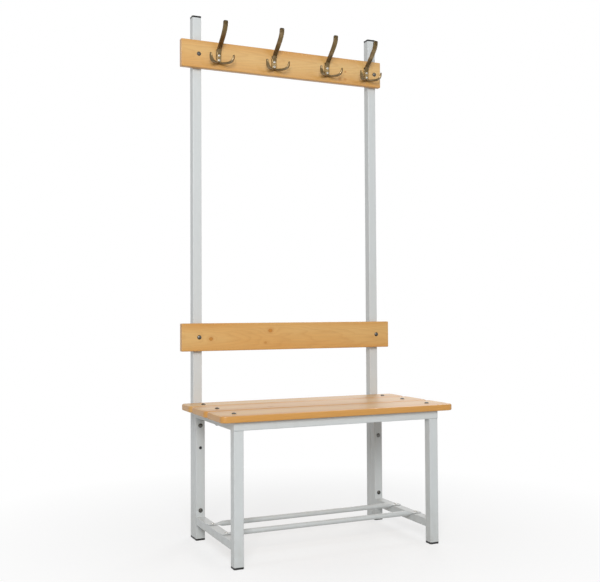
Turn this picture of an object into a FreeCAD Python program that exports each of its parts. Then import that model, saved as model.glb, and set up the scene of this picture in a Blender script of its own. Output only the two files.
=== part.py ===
"""Changing room bench: a slatted seat on a tube frame, with a backrest, a hook board and a shoe rack.

The bench stands on Z = 0 with its seat front towards -Y. The origin is below the middle of the
bounding box. Lengths are millimetres. Every tube and board is drawn standing on its end, along
its own Z, and then turned and set in its place by its Placement.
"""

import FreeCAD, Part
import math
import os
import re

import Sketcher
from FreeCAD import Placement, Rotation, Vector

# Driving sizes, in millimetres
SIZES = {
    # Frame tube: square for posts and legs, flat for rails and crossbars
    "tube_width": 30.0,
    "tube_wall": 1.5,
    "tube_corner": 2.5,
    "bar_height": 25.0,
    "end_plate": 1.5,
    # Frame
    "frame_width": 680.0,
    "frame_depth": 385.0,
    "post_height": 1700.0,
    "seat_height": 435.0,
    "lower_bar_level": 50.0,
    # Black caps of the tube ends
    "cap_flange": 6.0,
    "cap_plug": 16.0,
    "cap_clearance": 0.2,
    # Seat
    "slat_thickness": 20.0,
    "rear_slat_width": 100.0,
    "slat_gap": 10.0,
    "slat_edge": 4.0,
    "slat_back_gap": 1.0,
    "seat_left_overhang": 42.0,
    "seat_right_overhang": 50.0,
    "seat_front_overhang": 16.0,
    # Backrest and hook board
    "board_thickness": 20.0,
    "board_height": 90.0,
    "board_edge": 3.0,
    "board_left_overhang": 44.0,
    "backrest_right_overhang": 34.0,
    "hook_board_right_overhang": 9.5,
    "backrest_level": 602.0,
    "hook_board_drop": 86.0,
    # Domed bolts and their nuts
    "bolt_diameter": 6.0,
    "bolt_head_width": 14.0,
    "bolt_head_height": 4.0,
    "bolt_clearance": 0.5,
    "rail_bolt_gap": 10.0,
    "nut_width": 10.0,
    "nut_height": 5.0,
    "cap_nut_height": 10.0,
    "plug_head_width": 10.0,
    "plug_head_height": 1.5,
    "plug_length": 6.0,
    "leg_bolt_low": 95.0,
    "leg_bolt_drop": 25.0,
    "leg_bolt_pitch": 71.0,
    # Shoe rack
    "rod_diameter": 16.0,
    "rod_wall": 1.2,
    "rod_flat_thickness": 3.0,
    "rod_flat_width": 22.0,
    "rod_flat_length": 26.0,
    "rod_taper_length": 24.0,
    "rear_rod_setback": 147.0,
    "front_rod_inset": 111.0,
    "rack_screw_diameter": 5.0,
    "rack_screw_head_width": 11.0,
    "rack_screw_head_height": 3.0,
    "rack_screw_length": 14.0,
    # Coat hooks, measured from the foot of the stem at the board's face
    "hook_width": 16.0,
    "hook_thickness": 4.0,
    "hook_edge": 1.2,
    "hook_plate_width": 18.0,
    "hook_plate_height": 46.0,
    "hook_plate_thickness": 2.5,
    "hook_height": 121.0,
    "hook_reach": 72.0,
    "hook_lift": 21.0,
    "hook_tip_thickness": 9.0,
    "hook_arm_reach": 56.0,
    "hook_arm_height": 24.0,
    "hook_arm_drop": 4.0,
    "hook_arm_width": 13.0,
    "hook_arm_thickness": 6.0,
    "hook_arm_tip_width": 7.0,
    "hook_screw_diameter": 4.0,
    "hook_screw_head": 7.5,
    "hook_screw_low": 8.0,
    "hook_screw_high": 24.0,
    "first_hook_inset": 126.0,
    "last_hook_inset": 58.5,
    # Overrun of the shapes that cut
    "overrun": 2.0,
}

# Share of the rear and middle slats' widths, from their rear edges, at which their bolts stand
BOLT_SHARE = 0.6
# Shares of the stretch between the first and the last hook at which the hooks stand
HOOK_PLACE_SHARES = (0.0, 0.358, 0.72, 1.0)

# Sizes that follow from the driving sizes
DERIVED = {
    "slat_width": "(frame_depth + seat_front_overhang - slat_back_gap - rear_slat_width) / 2 - slat_gap",
    "rear_bolt_setback": f"slat_back_gap + {BOLT_SHARE} * rear_slat_width",
    "middle_bolt_setback": f"slat_back_gap + rear_slat_width + slat_gap + {BOLT_SHARE} * slat_width",
    "front_bolt_setback": "frame_depth - tube_width - rail_bolt_gap",
    "seat_length": "frame_width + seat_left_overhang + seat_right_overhang",
    "seat_depth": "2 * slat_width + rear_slat_width + 2 * slat_gap",
    "backrest_length": "frame_width + board_left_overhang + backrest_right_overhang",
    "hook_board_length": "frame_width + board_left_overhang + hook_board_right_overhang",
    "hook_stretch": "hook_board_length - first_hook_inset - last_hook_inset",
    "hook_board_level": "post_height - hook_board_drop - board_height",
    "frame_left": "seat_left_overhang - seat_length / 2",
    "post_front": "(seat_depth + slat_back_gap - tube_width - cap_nut_height) / 2",
    "bar_level": "seat_height - slat_thickness - bar_height",
    "leg_length": "bar_level - cap_flange",
    "leg_bolt_high": "bar_level - leg_bolt_drop",
    "leg_bolt_middle": "leg_bolt_high - leg_bolt_pitch",
    "post_length": "post_height - 2 * cap_flange",
    "rail_length": "frame_width - 2 * end_plate",
    "top_bar_length": "frame_depth - 2 * tube_width",
    "hole_width": "bolt_diameter + bolt_clearance",
    "rack_hole": "rack_screw_diameter + bolt_clearance",
    "rear_bolt_place": "top_bar_length + tube_width - rear_bolt_setback",
    "middle_bolt_place": "top_bar_length + tube_width - middle_bolt_setback",
    "front_bolt_place": "top_bar_length + tube_width - front_bolt_setback",
    "front_rod_setback": "frame_depth - front_rod_inset",
    "rear_rod_place": "top_bar_length + tube_width - rear_rod_setback",
    "front_rod_place": "top_bar_length + tube_width - front_rod_setback",
    "lower_bar_top": "lower_bar_level + bar_height",
    **{
        f"hook_place_{number}": f"first_hook_inset + {share} * hook_stretch"
        for number, share in enumerate(HOOK_PLACE_SHARES, start=1)
    },
}

# The stem of a coat hook, as shares of its reach and of its height
STEM_REACH_SHARES = (0.00, 0.00, 0.06, 0.22, 0.45, 0.67, 0.84, 0.95, 0.99, 1.00)
STEM_HEIGHT_SHARES = (0.00, 0.25, 0.37, 0.46, 0.57, 0.68, 0.78, 0.87, 0.94, 1.00)
STEM_SWELLING_SHARES = (0.00, 0.00, 0.15, 0.35, 0.55, 0.70, 0.82, 0.92, 1.00, 1.00)
# A lower arm, as shares of its reach, of its height above its lowest point and of its thickness
ARM_REACH_SHARES = (0.08, 0.24, 0.46, 0.70, 0.88, 0.97, 1.00)
ARM_HEIGHT_SHARES = (0.16, 0.09, 0.05, 0.08, 0.28, 0.62, 1.00)
ARM_THICKNESS_SHARES = (1.00, 1.00, 1.00, 1.00, 1.00, 0.92, 0.75)
ARM_SHOULDER_SHARE = 0.25
ARM_ANGLES = (-45.0, 45.0)

# Height of the rods' section over its width: the press leaves them a little flat
ROUND_SHARE = 0.98
# A domed head, as shares of its radius and its height: top of its rim, middle of its bulge, edge of its crown
DOME_RADIUS_SHARES = (1.00, 0.75, 0.25)
DOME_HEIGHT_SHARES = (0.25, 0.80, 1.00)
# A cap nut's dome, as shares of the nut's width and of the dome's height
NUT_DOME_SHARE = 0.46
NUT_BULGE_SHARES = (0.36, 0.70)
NUT_CROWN_SHARE = 0.12
HEXAGON_SIDES = 6
QUARTER_TURN = 90.0
ALONG_X = Rotation(Vector(0, 1, 0), QUARTER_TURN)
ALONG_Y = Rotation(Vector(1, 0, 0), -QUARTER_TURN)
UPSIDE_DOWN = Rotation(Vector(1, 0, 0), 2 * QUARTER_TURN)
HEAD_FORWARD = Rotation(Vector(1, 0, 0), QUARTER_TURN)
NUT_BACKWARD = Rotation(Vector(1, 0, 0), -QUARTER_TURN)
UPRIGHT = Rotation()
PLANES = {"X": "YZ_Plane", "Y": "XZ_Plane"}

doc = FreeCAD.newDocument("ChangingRoomBench")


def in_sheet(expression):
    """The expression with the sheet's name before every size that it names."""
    known = set(SIZES) | set(DERIVED)

    def with_sheet(found):
        word = found.group(0)
        return "Sizes." + word if word in known else word

    return re.sub(r"[a-z]\w*", with_sheet, expression)


def make_sheet():
    """The sheet: driving sizes as plain numbers, and below them the sizes worked out from them."""
    table = doc.addObject("Spreadsheet::Sheet", "Sizes")
    for row, (alias, value) in enumerate(SIZES.items(), start=1):
        table.set(f"A{row}", alias)
        table.set(f"B{row}", str(value))
        table.setAlias(f"B{row}", alias)
    for row, (alias, formula) in enumerate(DERIVED.items(), start=len(SIZES) + 1):
        table.set(f"A{row}", alias)
        table.set(f"B{row}", "=" + formula)
        table.setAlias(f"B{row}", alias)
    doc.recompute()
    return table


sheet = make_sheet()
size = {alias: float(sheet.get(alias)) for alias in (*SIZES, *DERIVED)}
parts = []


def place(item, x, y, z, turn=UPRIGHT):
    """Turn a finished piece and bind its place to the sheet."""
    item.Placement = Placement(Vector(), turn)
    for axis, expression in zip("xyz", (x, y, z)):
        item.setExpression(f"Placement.Base.{axis}", in_sheet(expression))


def origin_plane(body, role):
    """One of the three planes through a body's own origin."""
    return next(f for f in body.Origin.OriginFeatures if f.Role == role)


def new_sketch(body, name, role):
    """A sketch that lies on one of the body's own origin planes."""
    sketch = body.newObject("Sketcher::SketchObject", name)
    sketch.AttachmentSupport = [(origin_plane(body, role), "")]
    sketch.MapMode = "FlatFace"
    return sketch


def constrain(sketch, expression, *arguments):
    """Add one constraint and bind its value to the sheet."""
    index = sketch.addConstraint(Sketcher.Constraint(*arguments))
    sketch.setExpression(f"Constraints[{index}]", in_sheet(expression))


def draw_rectangle(sketch, width, depth, wide, deep):
    """A rectangle about the sketch's origin. Width and depth are expressions, wide and deep their values."""
    corners = [Vector(i * wide / 2, j * deep / 2, 0) for i, j in ((-1, -1), (1, -1), (1, 1), (-1, 1))]
    sides = [
        sketch.addGeometry(Part.LineSegment(corners[k], corners[(k + 1) % len(corners)]), False)
        for k in range(len(corners))
    ]
    for here, after in zip(sides, sides[1:] + sides[:1]):
        sketch.addConstraint(Sketcher.Constraint("Coincident", here, 2, after, 1))
    for side, direction in zip(sides, ("Horizontal", "Vertical") * 2):
        sketch.addConstraint(Sketcher.Constraint(direction, side))
    sketch.addConstraint(Sketcher.Constraint("Symmetric", sides[0], 1, sides[2], 1, -1, 1))
    constrain(sketch, width, "DistanceX", sides[0], 1, sides[0], 2, wide)
    constrain(sketch, depth, "DistanceY", sides[1], 1, sides[1], 2, deep)


def round_long_edges(body, pad, radius, wide, deep):
    """Round the four outer edges of a pad that run along the body's Z."""
    names = []
    for number, edge in enumerate(pad.Shape.Edges, start=1):
        ends = [v.Point for v in edge.Vertexes]
        along = len(ends) == 2 and abs(ends[0].z - ends[1].z) > max(wide, deep) / 2
        tolerance = size["tube_wall"] / 2
        corner = abs(abs(ends[0].x) - wide / 2) < tolerance and abs(abs(ends[0].y) - deep / 2) < tolerance
        if along and corner:
            names.append(f"Edge{number}")
    fillet = body.newObject("PartDesign::Fillet", body.Name + "_corners")
    fillet.Base = (pad, names)
    fillet.setExpression("Radius", in_sheet(radius))
    doc.recompute()


def drill(body, holes, half=False):
    """Drill round holes straight through a body, or from its middle plane to its front face.

    Each hole is (side, across, along, diameter): the axis that it runs along, X or Y, its distance
    from the middle line, or None for none, its distance from the body's foot, and its width.
    """
    for number, (side, across, along, diameter) in enumerate(holes, start=1):
        before = body.Shape.Volume
        sketch = new_sketch(body, f"{body.Name}_hole_{number}", PLANES[side])
        away = size["tube_width"]
        centre = Vector(away if across else 0, away, 0)
        circle = sketch.addGeometry(Part.Circle(centre, Vector(0, 0, 1), size[diameter] / 2), False)
        constrain(sketch, diameter, "Diameter", circle, size[diameter])
        if across:
            constrain(sketch, across, "DistanceX", -1, 1, circle, 3, away)
        else:
            sketch.addConstraint(Sketcher.Constraint("PointOnObject", circle, 3, -2))
        constrain(sketch, along, "DistanceY", -1, 1, circle, 3, away)
        pocket = body.newObject("PartDesign::Pocket", f"{body.Name}_bore_{number}")
        pocket.Profile = sketch
        pocket.Type = "ThroughAll"
        pocket.SideType = "One side" if half else "Symmetric"
        pocket.Reversed = half
        doc.recompute()
        if not body.Shape.Volume < before:
            raise RuntimeError(f"{body.Name}: hole {number} cuts nothing")


def bar(label, width, depth, length, corner, wall=None, holes=()):
    """A straight bar or tube along its own Z, centred on it, with rounded long edges."""
    body = doc.addObject("PartDesign::Body", label)
    body.Label = label
    sketch = new_sketch(body, label + "_section", "XY_Plane")
    draw_rectangle(sketch, width, depth, size[width], size[depth])
    if wall:
        bore = [f"{side} - 2 * {wall}" for side in (width, depth)]
        draw_rectangle(sketch, *bore, size[width] - 2 * size[wall], size[depth] - 2 * size[wall])
    pad = body.newObject("PartDesign::Pad", label + "_length")
    pad.Profile = sketch
    pad.setExpression("Length", in_sheet(length))
    doc.recompute()
    round_long_edges(body, pad, corner, size[width], size[depth])
    drill(body, holes)
    parts.append(body)
    return body


def tube(label, length, holes=()):
    """A square tube of the frame."""
    return bar(label, "tube_width", "tube_width", length, "tube_corner", "tube_wall", holes)


def end_cap(label, x, y, z, turn):
    """A flat plastic cap with a plug that fills the end of a square tube."""
    body = doc.addObject("PartDesign::Body", label)
    body.Label = label
    flange = new_sketch(body, label + "_outline", "XY_Plane")
    draw_rectangle(flange, "tube_width", "tube_width", size["tube_width"], size["tube_width"])
    pad = body.newObject("PartDesign::Pad", label + "_flange")
    pad.Profile = flange
    pad.setExpression("Length", in_sheet("cap_flange"))
    doc.recompute()
    names = [
        f"Edge{number}"
        for number, edge in enumerate(pad.Shape.Edges, start=1)
        if abs(edge.Vertexes[0].Z - edge.Vertexes[1].Z) > size["cap_flange"] / 2
    ]
    fillet = body.newObject("PartDesign::Fillet", label + "_corners")
    fillet.Base = (pad, names)
    fillet.setExpression("Radius", in_sheet("tube_corner"))
    plug = new_sketch(body, label + "_inside", "XY_Plane")
    inside = "tube_width - 2 * tube_wall - 2 * cap_clearance"
    wide = size["tube_width"] - 2 * size["tube_wall"] - 2 * size["cap_clearance"]
    draw_rectangle(plug, inside, inside, wide, wide)
    stem = body.newObject("PartDesign::Pad", label + "_plug")
    stem.Profile = plug
    stem.setExpression("Length", in_sheet("cap_flange + cap_plug"))
    doc.recompute()
    place(body, x, y, z, turn)
    parts.append(body)


def solid_group(label, shapes, x="0", y="0", z="0", turn=UPRIGHT):
    """One node that holds one shape, or several separate solids."""
    item = doc.addObject("Part::Feature", label)
    item.Label = label
    item.Shape = shapes[0] if len(shapes) == 1 else Part.makeCompound(shapes)
    place(item, x, y, z, turn)
    parts.append(item)


def turned(points):
    """A solid of revolution about Z from an outline of (radius, height) points and arcs' middles.

    A point with a third value is the middle of an arc between its neighbours.
    """
    edges = []
    here = Vector(points[0][0], 0, points[0][1])
    middle = None
    for point in (*points[1:], points[0]):
        there = Vector(point[0], 0, point[1])
        if len(point) > 2:
            middle = there
            continue
        edge = Part.Arc(here, middle, there).toShape() if middle else Part.LineSegment(here, there).toShape()
        edges.append(edge)
        here = there
        middle = None
    face = Part.Face(Part.Wire(edges))
    return face.revolve(Vector(0, 0, 0), Vector(0, 0, 1), 360)


def headed(head, rise, shank, length):
    """A round shank below Z = 0 under a domed head with a flat crown."""
    rim, bulge, crown = ((head * r, rise * h) for r, h in zip(DOME_RADIUS_SHARES, DOME_HEIGHT_SHARES))
    neck = ((0, -length), (shank, -length), (shank, 0), (head, 0))
    return turned((*neck, rim, (*bulge, True), crown, (0, rise)))


def domed_bolt(length):
    """A bolt with a low domed head above Z = 0 and its shank below."""
    return headed(size["bolt_head_width"] / 2, size["bolt_head_height"], size["bolt_diameter"] / 2, length)


def hexagon(width, height):
    """A hexagonal prism up from Z = 0, or down where the height is negative, of a width across flats."""
    radius = width / 2 / math.cos(math.pi / HEXAGON_SIDES)
    turns = [2 * math.pi * k / HEXAGON_SIDES for k in range(HEXAGON_SIDES)]
    corners = [Vector(radius * math.cos(a), radius * math.sin(a), 0) for a in turns]
    outline = Part.makePolygon([*corners, corners[0]])
    return Part.Face(outline).extrude(Vector(0, 0, height))


def hole_plug():
    """A plastic plug with a thin round head above Z = 0 and a short stem that fills a bolt hole."""
    head = size["plug_head_width"] / 2
    return headed(head, size["plug_head_height"], size["bolt_diameter"] / 2, size["plug_length"])


def plain_nut():
    """A hexagonal nut below Z = 0, with its bore."""
    drop = size["nut_height"]
    run = size["overrun"]
    bore = Part.makeCylinder(size["hole_width"] / 2, drop + 2 * run, Vector(0, 0, -drop - run))
    return hexagon(size["nut_width"], -drop).cut(bore)


def cap_nut():
    """A cap nut that stands on Z = 0: a hexagon under a dome, with a blind bore."""
    hex_height = size["nut_height"]
    top = size["cap_nut_height"]
    rise = top - hex_height
    side = size["nut_width"] * NUT_DOME_SHARE
    crown = size["nut_width"] * NUT_CROWN_SHARE
    bulge = (size["nut_width"] * NUT_BULGE_SHARES[0], hex_height + rise * NUT_BULGE_SHARES[1], True)
    dome = turned(((0, 0), (side, 0), (side, hex_height), bulge, (crown, top), (0, top)))
    bore_depth = (hex_height + top) / 2 + size["overrun"]
    bore = Part.makeCylinder(size["hole_width"] / 2, bore_depth, Vector(0, 0, -size["overrun"]))
    return hexagon(size["nut_width"], hex_height).fuse(dome).removeSplitter().cut(bore)


def copies(shape, places, turn=UPRIGHT):
    """A copy of one shape at each place."""
    made = []
    for point in places:
        copy = shape.copy()
        copy.Placement = Placement(point, turn)
        made.append(copy)
    return made


def arc_chain(points):
    """Arcs through the points, two spans each, after one straight edge where the spans are odd in number."""
    straight = (len(points) + 1) % 2
    edges = [Part.LineSegment(points[0], points[1]).toShape()] if straight else []
    for k in range(straight, len(points) - 2, 2):
        edges.append(Part.Arc(points[k], points[k + 1], points[k + 2]).toShape())
    return edges


def bent_plate(centres, thicknesses, across, width):
    """A plate of the given width that follows points in the plane square to across, to a round end."""
    fronts = []
    backs = []
    for k, centre in enumerate(centres):
        before = centres[max(k - 1, 0)]
        after = centres[min(k + 1, len(centres) - 1)]
        through = across.cross(after - before).normalize() * (thicknesses[k] / 2)
        fronts.append(centre + through)
        backs.append(centre - through)
    end = centres[-1] + (centres[-1] - centres[-2]).normalize() * (thicknesses[-1] / 2)
    nose = Part.Arc(fronts[-1], end, backs[-1]).toShape()
    foot = Part.LineSegment(backs[0], fronts[0]).toShape()
    outline = Part.Wire(Part.sortEdges([*arc_chain(fronts), nose, *arc_chain(backs), foot])[0])
    plate = Part.Face(outline).extrude(across * width)
    plate.translate(across * (-width / 2))
    return plate


def hook_stem():
    """The tall middle strip: up the board, then forward and up to its thick rounded tip."""
    root = size["hook_plate_thickness"] + size["hook_thickness"] / 2
    reach = size["hook_reach"] - root
    height = size["hook_height"] - size["hook_tip_thickness"] / 2
    shares = zip(STEM_REACH_SHARES, STEM_HEIGHT_SHARES)
    centres = [Vector(0, -root - reach * r, height * h) for r, h in shares]
    swelling = size["hook_tip_thickness"] - size["hook_thickness"]
    thicknesses = [size["hook_thickness"] + swelling * s for s in STEM_SWELLING_SHARES]
    return bent_plate(centres, thicknesses, Vector(1, 0, 0), size["hook_width"])


def hook_arm(angle):
    """One lower arm: out and forward from the foot of the stem, curled up to a narrow tip."""
    turn = math.radians(angle)
    outward = Vector(math.sin(turn), -math.cos(turn), 0)
    across = outward.cross(Vector(0, 0, 1))
    reach = size["hook_arm_reach"]
    height = size["hook_arm_height"]
    foot = Vector(0, 0, -size["hook_arm_drop"])
    shares = zip(ARM_REACH_SHARES, ARM_HEIGHT_SHARES)
    centres = [foot + outward * (reach * r) + Vector(0, 0, height * h) for r, h in shares]
    thicknesses = [size["hook_arm_thickness"] * s for s in ARM_THICKNESS_SHARES]
    arm = bent_plate(centres, thicknesses, across, size["hook_arm_width"])
    broad = size["hook_arm_width"] / 2
    narrow = size["hook_arm_tip_width"] / 2
    run = size["overrun"] + size["hook_arm_thickness"]
    shoulder = height * ARM_SHOULDER_SHARE
    top = height + run
    right = ((broad, -run), (broad, shoulder), (narrow, top))
    left = ((-narrow, top), (-broad, shoulder), (-broad, -run))
    corners = [foot + across * i + Vector(0, 0, j) for i, j in (*right, *left)]
    taper = Part.Face(Part.makePolygon([*corners, corners[0]])).extrude(outward * (reach + run))
    return arm.common(taper)


def hook_boss():
    """The block that joins the foot of the stem and the arms to the back plate."""
    wide = size["hook_arm_width"]
    deep = hook_front() - size["hook_edge"] / 2
    block = Part.makeBox(wide, deep, wide, Vector(-wide / 2, -deep, -size["hook_arm_drop"]))
    return block.makeFillet(size["hook_edge"], block.Edges)


def hook_front():
    """From the board's face to the front of a hook's stem, where it lies on its plate."""
    return size["hook_plate_thickness"] + size["hook_thickness"]


def hook_screw():
    """A countersunk screw along Z: its flat head's top is at Z = 0 and its point below."""
    head = size["hook_screw_head"] / 2
    shank = size["hook_screw_diameter"] / 2
    taper = head - shank
    length = hook_front() + size["board_thickness"] / 2
    return turned(((0, -length), (shank, -length + shank), (shank, -taper), (head, 0), (0, 0)))


def coat_hook():
    """A triple coat hook: back plate, stem and two arms in one piece, with two screw holes."""
    plate = Part.makeBox(
        size["hook_plate_width"],
        size["hook_plate_thickness"],
        size["hook_plate_height"],
        Vector(-size["hook_plate_width"] / 2, -size["hook_plate_thickness"], 0),
    )
    least = size["hook_plate_thickness"] / 2
    corner_edges = [e for e in plate.Edges if abs(e.Vertexes[0].Y - e.Vertexes[1].Y) > least]
    plate = plate.makeFillet(size["hook_plate_width"] / 4, corner_edges)
    body = plate.fuse([hook_boss(), hook_stem(), *(hook_arm(a) for a in ARM_ANGLES)])
    side = size["hook_arm_reach"] * 2
    behind = Part.makeBox(side, size["hook_plate_width"], side, Vector(-side / 2, 0, -side / 2))
    body = body.cut(behind)
    clearance = size["bolt_clearance"] / 2
    wide = size["hook_screw_head"] / 2 + clearance
    narrow = size["hook_screw_diameter"] / 2 + clearance
    low = -hook_front() - size["overrun"]
    high = size["overrun"]
    cutter = turned(((0, low), (narrow, low), (narrow, narrow - wide), (wide, 0), (wide, high), (0, high)))
    return body.cut(copies(cutter, hook_screw_places(), HEAD_FORWARD))


def hook_screw_places(foot=Vector()):
    """Where the heads of a hook's two screws stand, from the foot of its stem at the board."""
    return [foot + Vector(0, -hook_front(), size[z]) for z in ("hook_screw_low", "hook_screw_high")]


def rack_rod():
    """A round tube along X from its left end, pressed flat at both ends, with a screw hole in each."""
    radius = size["rod_diameter"] / 2
    flat = size["rod_flat_length"]
    taper = size["rod_taper_length"]
    length = size["frame_width"]
    middle = length - 2 * (flat + taper)
    along = Vector(1, 0, 0)
    bore = Part.makeCylinder(radius - size["rod_wall"], middle, along * (flat + taper), along)
    screw_foot = Vector(size["tube_width"] / 2, 0, -radius)
    screw = Part.makeCylinder(size["rack_hole"] / 2, size["rod_diameter"], screw_foot)
    half_width = size["rod_flat_width"] / 2
    half_thick = size["rod_flat_thickness"] / 2

    def oval(x, wide, thick):
        centre = Vector(x, 0, 0)
        edges = []
        for i in (1, -1):
            side = Vector(0, i * (wide - thick), 0)
            top = Vector(0, 0, i * thick)
            bow = Vector(0, i * wide, 0)
            edges.append(Part.LineSegment(centre - side + top, centre + side + top).toShape())
            edges.append(Part.Arc(centre + side + top, centre + bow, centre + side - top).toShape())
        return Part.Wire(edges)

    round_section = oval(flat + taper, radius, radius * ROUND_SHARE)
    rod = Part.Face(round_section).extrude(along * middle).cut(bore)
    sleeve = Part.makeLoft([round_section, oval(flat, half_width, half_thick)], True, True)
    blade = Part.Face(oval(0, half_width, half_thick)).extrude(along * flat)
    end = blade.fuse(sleeve).cut(screw)
    other = end.mirror(Vector(length / 2, 0, 0), along)
    return rod.fuse([end, other])


def pan_screw():
    """A rack screw: a low round head above Z = 0 and its shank below."""
    head = size["rack_screw_head_width"] / 2
    shank = size["rack_screw_diameter"] / 2
    return headed(head, size["rack_screw_head_height"], shank, size["rack_screw_length"])


# Middles of the left and the right posts, and of the rows of tubes from back to front
LEFT = "frame_left + tube_width / 2"
RIGHT = "frame_left + frame_width - tube_width / 2"
POST_ROW = "post_front + tube_width / 2"
REAR_ROW = "post_front - tube_width / 2"
FRONT_ROW = "post_front - frame_depth + tube_width / 2"
SIDES = {"left": LEFT, "right": RIGHT}

# Heights of the bolts that join the legs to the posts, above the floor. The left middle hole has a plug.
LEG_BOLTS = ("leg_bolt_low", "leg_bolt_middle", "leg_bolt_high")
PLUGGED = ("left", "leg_bolt_middle")
BOARDS = {"backrest": "backrest_level", "hook": "hook_board_level"}

# Posts and legs
leg_holes = [("Y", None, f"{bolt} - cap_flange", "hole_width") for bolt in LEG_BOLTS]
board_middles = [f"{level} + board_height / 2 - cap_flange" for level in BOARDS.values()]
board_holes = [("Y", None, middle, "hole_width") for middle in board_middles]
for side, x in SIDES.items():
    place(tube(f"{side}_upright", "post_length", leg_holes + board_holes), x, POST_ROW, "cap_flange")
    place(tube(f"{side}_rear_leg", "leg_length", leg_holes), x, REAR_ROW, "cap_flange")
    place(tube(f"{side}_front_leg", "leg_length"), x, FRONT_ROW, "cap_flange")
    for name, row in (("upright", POST_ROW), ("rear_leg", REAR_ROW), ("front_leg", FRONT_ROW)):
        end_cap(f"{side}_{name}_foot_cap", x, row, "0", UPRIGHT)
    end_cap(f"{side}_top_cap", x, POST_ROW, "post_height", UPSIDE_DOWN)

# Rails along the bench, between thin plates that close their ends
MID_BAR = "bar_level + bar_height / 2"
for name, row in (("front", FRONT_ROW), ("rear", REAR_ROW)):
    rail = bar(f"{name}_seat_rail", "bar_height", "tube_width", "rail_length", "tube_corner", "tube_wall")
    place(rail, "frame_left + end_plate", row, MID_BAR, ALONG_X)
plate = Part.makeBox(size["end_plate"], size["tube_width"], size["bar_height"])
plate_places = [
    Vector(size["frame_left"] + along, size["post_front"] - back, size["bar_level"])
    for along in (0, size["frame_width"] - size["end_plate"])
    for back in (size["tube_width"], size["frame_depth"])
]
solid_group("rail_end_plates", copies(plate, plate_places))

# Crossbars under the ends of the seat, and above the floor
slat_bolts = ("rear_bolt_place", "middle_bolt_place", "front_bolt_place")
seat_holes = [("Y", None, place_name, "hole_width") for place_name in slat_bolts]
rack_holes = [("Y", None, place_name, "rack_hole") for place_name in ("rear_rod_place", "front_rod_place")]
crossbars = {"top": (MID_BAR, seat_holes), "lower": ("lower_bar_level + bar_height / 2", rack_holes)}
section = ("tube_width", "bar_height", "top_bar_length", "tube_corner", "tube_wall")
for side, x in SIDES.items():
    for name, (level, holes) in crossbars.items():
        crossbar = bar(f"{side}_{name}_crossbar", *section, holes)
        place(crossbar, x, "post_front - frame_depth + tube_width", level, ALONG_Y)

# Shoe rack
rods = {"rear": "rear_rod_setback", "front": "front_rod_setback"}
rod_level = "lower_bar_top + rod_flat_thickness / 2"
for name, setback in rods.items():
    solid_group(f"{name}_rack_rod", [rack_rod()], "frame_left", f"post_front - {setback}", rod_level)
column = size["frame_left"] + size["tube_width"] / 2
columns = [column, column + size["frame_width"] - size["tube_width"]]
rack_places = [
    Vector(x, size["post_front"] - size[setback], size["lower_bar_top"] + size["rod_flat_thickness"])
    for x in columns
    for setback in rods.values()
]
solid_group("rack_screws", copies(pan_screw(), rack_places))

# Seat slats, from the back
slats = {
    "rear": ("rear_slat_width", "slat_back_gap"),
    "middle": ("slat_width", "slat_back_gap + rear_slat_width + slat_gap"),
    "front": ("slat_width", "slat_back_gap + rear_slat_width + slat_width + 2 * slat_gap"),
}
for name, (width, setback) in slats.items():
    lead = "seat_left_overhang + tube_width / 2"
    across = f"{setback} + {width} / 2 - {name}_bolt_setback"
    holes = [("X", across, along, "hole_width") for along in (lead, f"{lead} + frame_width - tube_width")]
    slat = bar(f"{name}_seat_slat", "slat_thickness", width, "seat_length", "slat_edge", None, holes)
    row = f"post_front - ({setback}) - {width} / 2"
    place(slat, "-seat_length / 2", row, "seat_height - slat_thickness / 2", ALONG_X)

# Backrest and hook board
hook_places = [f"hook_place_{k}" for k in range(1, 5)]
for name, length in (("backrest_board", "backrest_length"), ("hook_board", "hook_board_length")):
    lead = "board_left_overhang + tube_width / 2"
    holes = [("Y", None, lead, "hole_width"), ("Y", None, f"{lead} + frame_width - tube_width", "hole_width")]
    board = bar(name, "board_height", "board_thickness", length, "board_edge", None, holes)
    if name == "hook_board":
        screws = [
            ("Y", f"board_height / 2 - hook_lift - {z}", hook, "hook_screw_diameter")
            for hook in hook_places
            for z in ("hook_screw_low", "hook_screw_high")
        ]
        drill(board, screws, half=True)
    level = BOARDS[name.split("_")[0]]
    middle = f"{level} + board_height / 2"
    place(board, "frame_left - board_left_overhang", "post_front - board_thickness / 2", middle, ALONG_X)

# Coat hooks and their screws
hook_foot = "hook_board_level + hook_lift"
for number, hook in enumerate(hook_places, start=1):
    x = f"frame_left - board_left_overhang + {hook}"
    solid_group(f"coat_hook_{number}", [coat_hook()], x, "post_front - board_thickness", hook_foot)
feet = [
    Vector(
        size["frame_left"] - size["board_left_overhang"] + size[hook],
        size["post_front"] - size["board_thickness"],
        size["hook_board_level"] + size["hook_lift"],
    )
    for hook in hook_places
]
screw_places = [point for foot in feet for point in hook_screw_places(foot)]
solid_group("hook_screws", copies(hook_screw(), screw_places, HEAD_FORWARD))

# Bolts and nuts
seat_bolt_length = size["slat_thickness"] + size["bar_height"] + size["nut_height"]
seat_places = [
    Vector(x, size["post_front"] - size[setback], size["seat_height"])
    for x in columns
    for setback in ("rear_bolt_setback", "middle_bolt_setback", "front_bolt_setback")
]
solid_group("seat_bolts", copies(domed_bolt(seat_bolt_length), seat_places))
under = Vector(0, 0, size["bar_level"] - size["seat_height"])
solid_group("seat_nuts", copies(plain_nut(), [p + under for p in seat_places]))

back_face = size["post_front"] + size["tube_width"]


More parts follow.
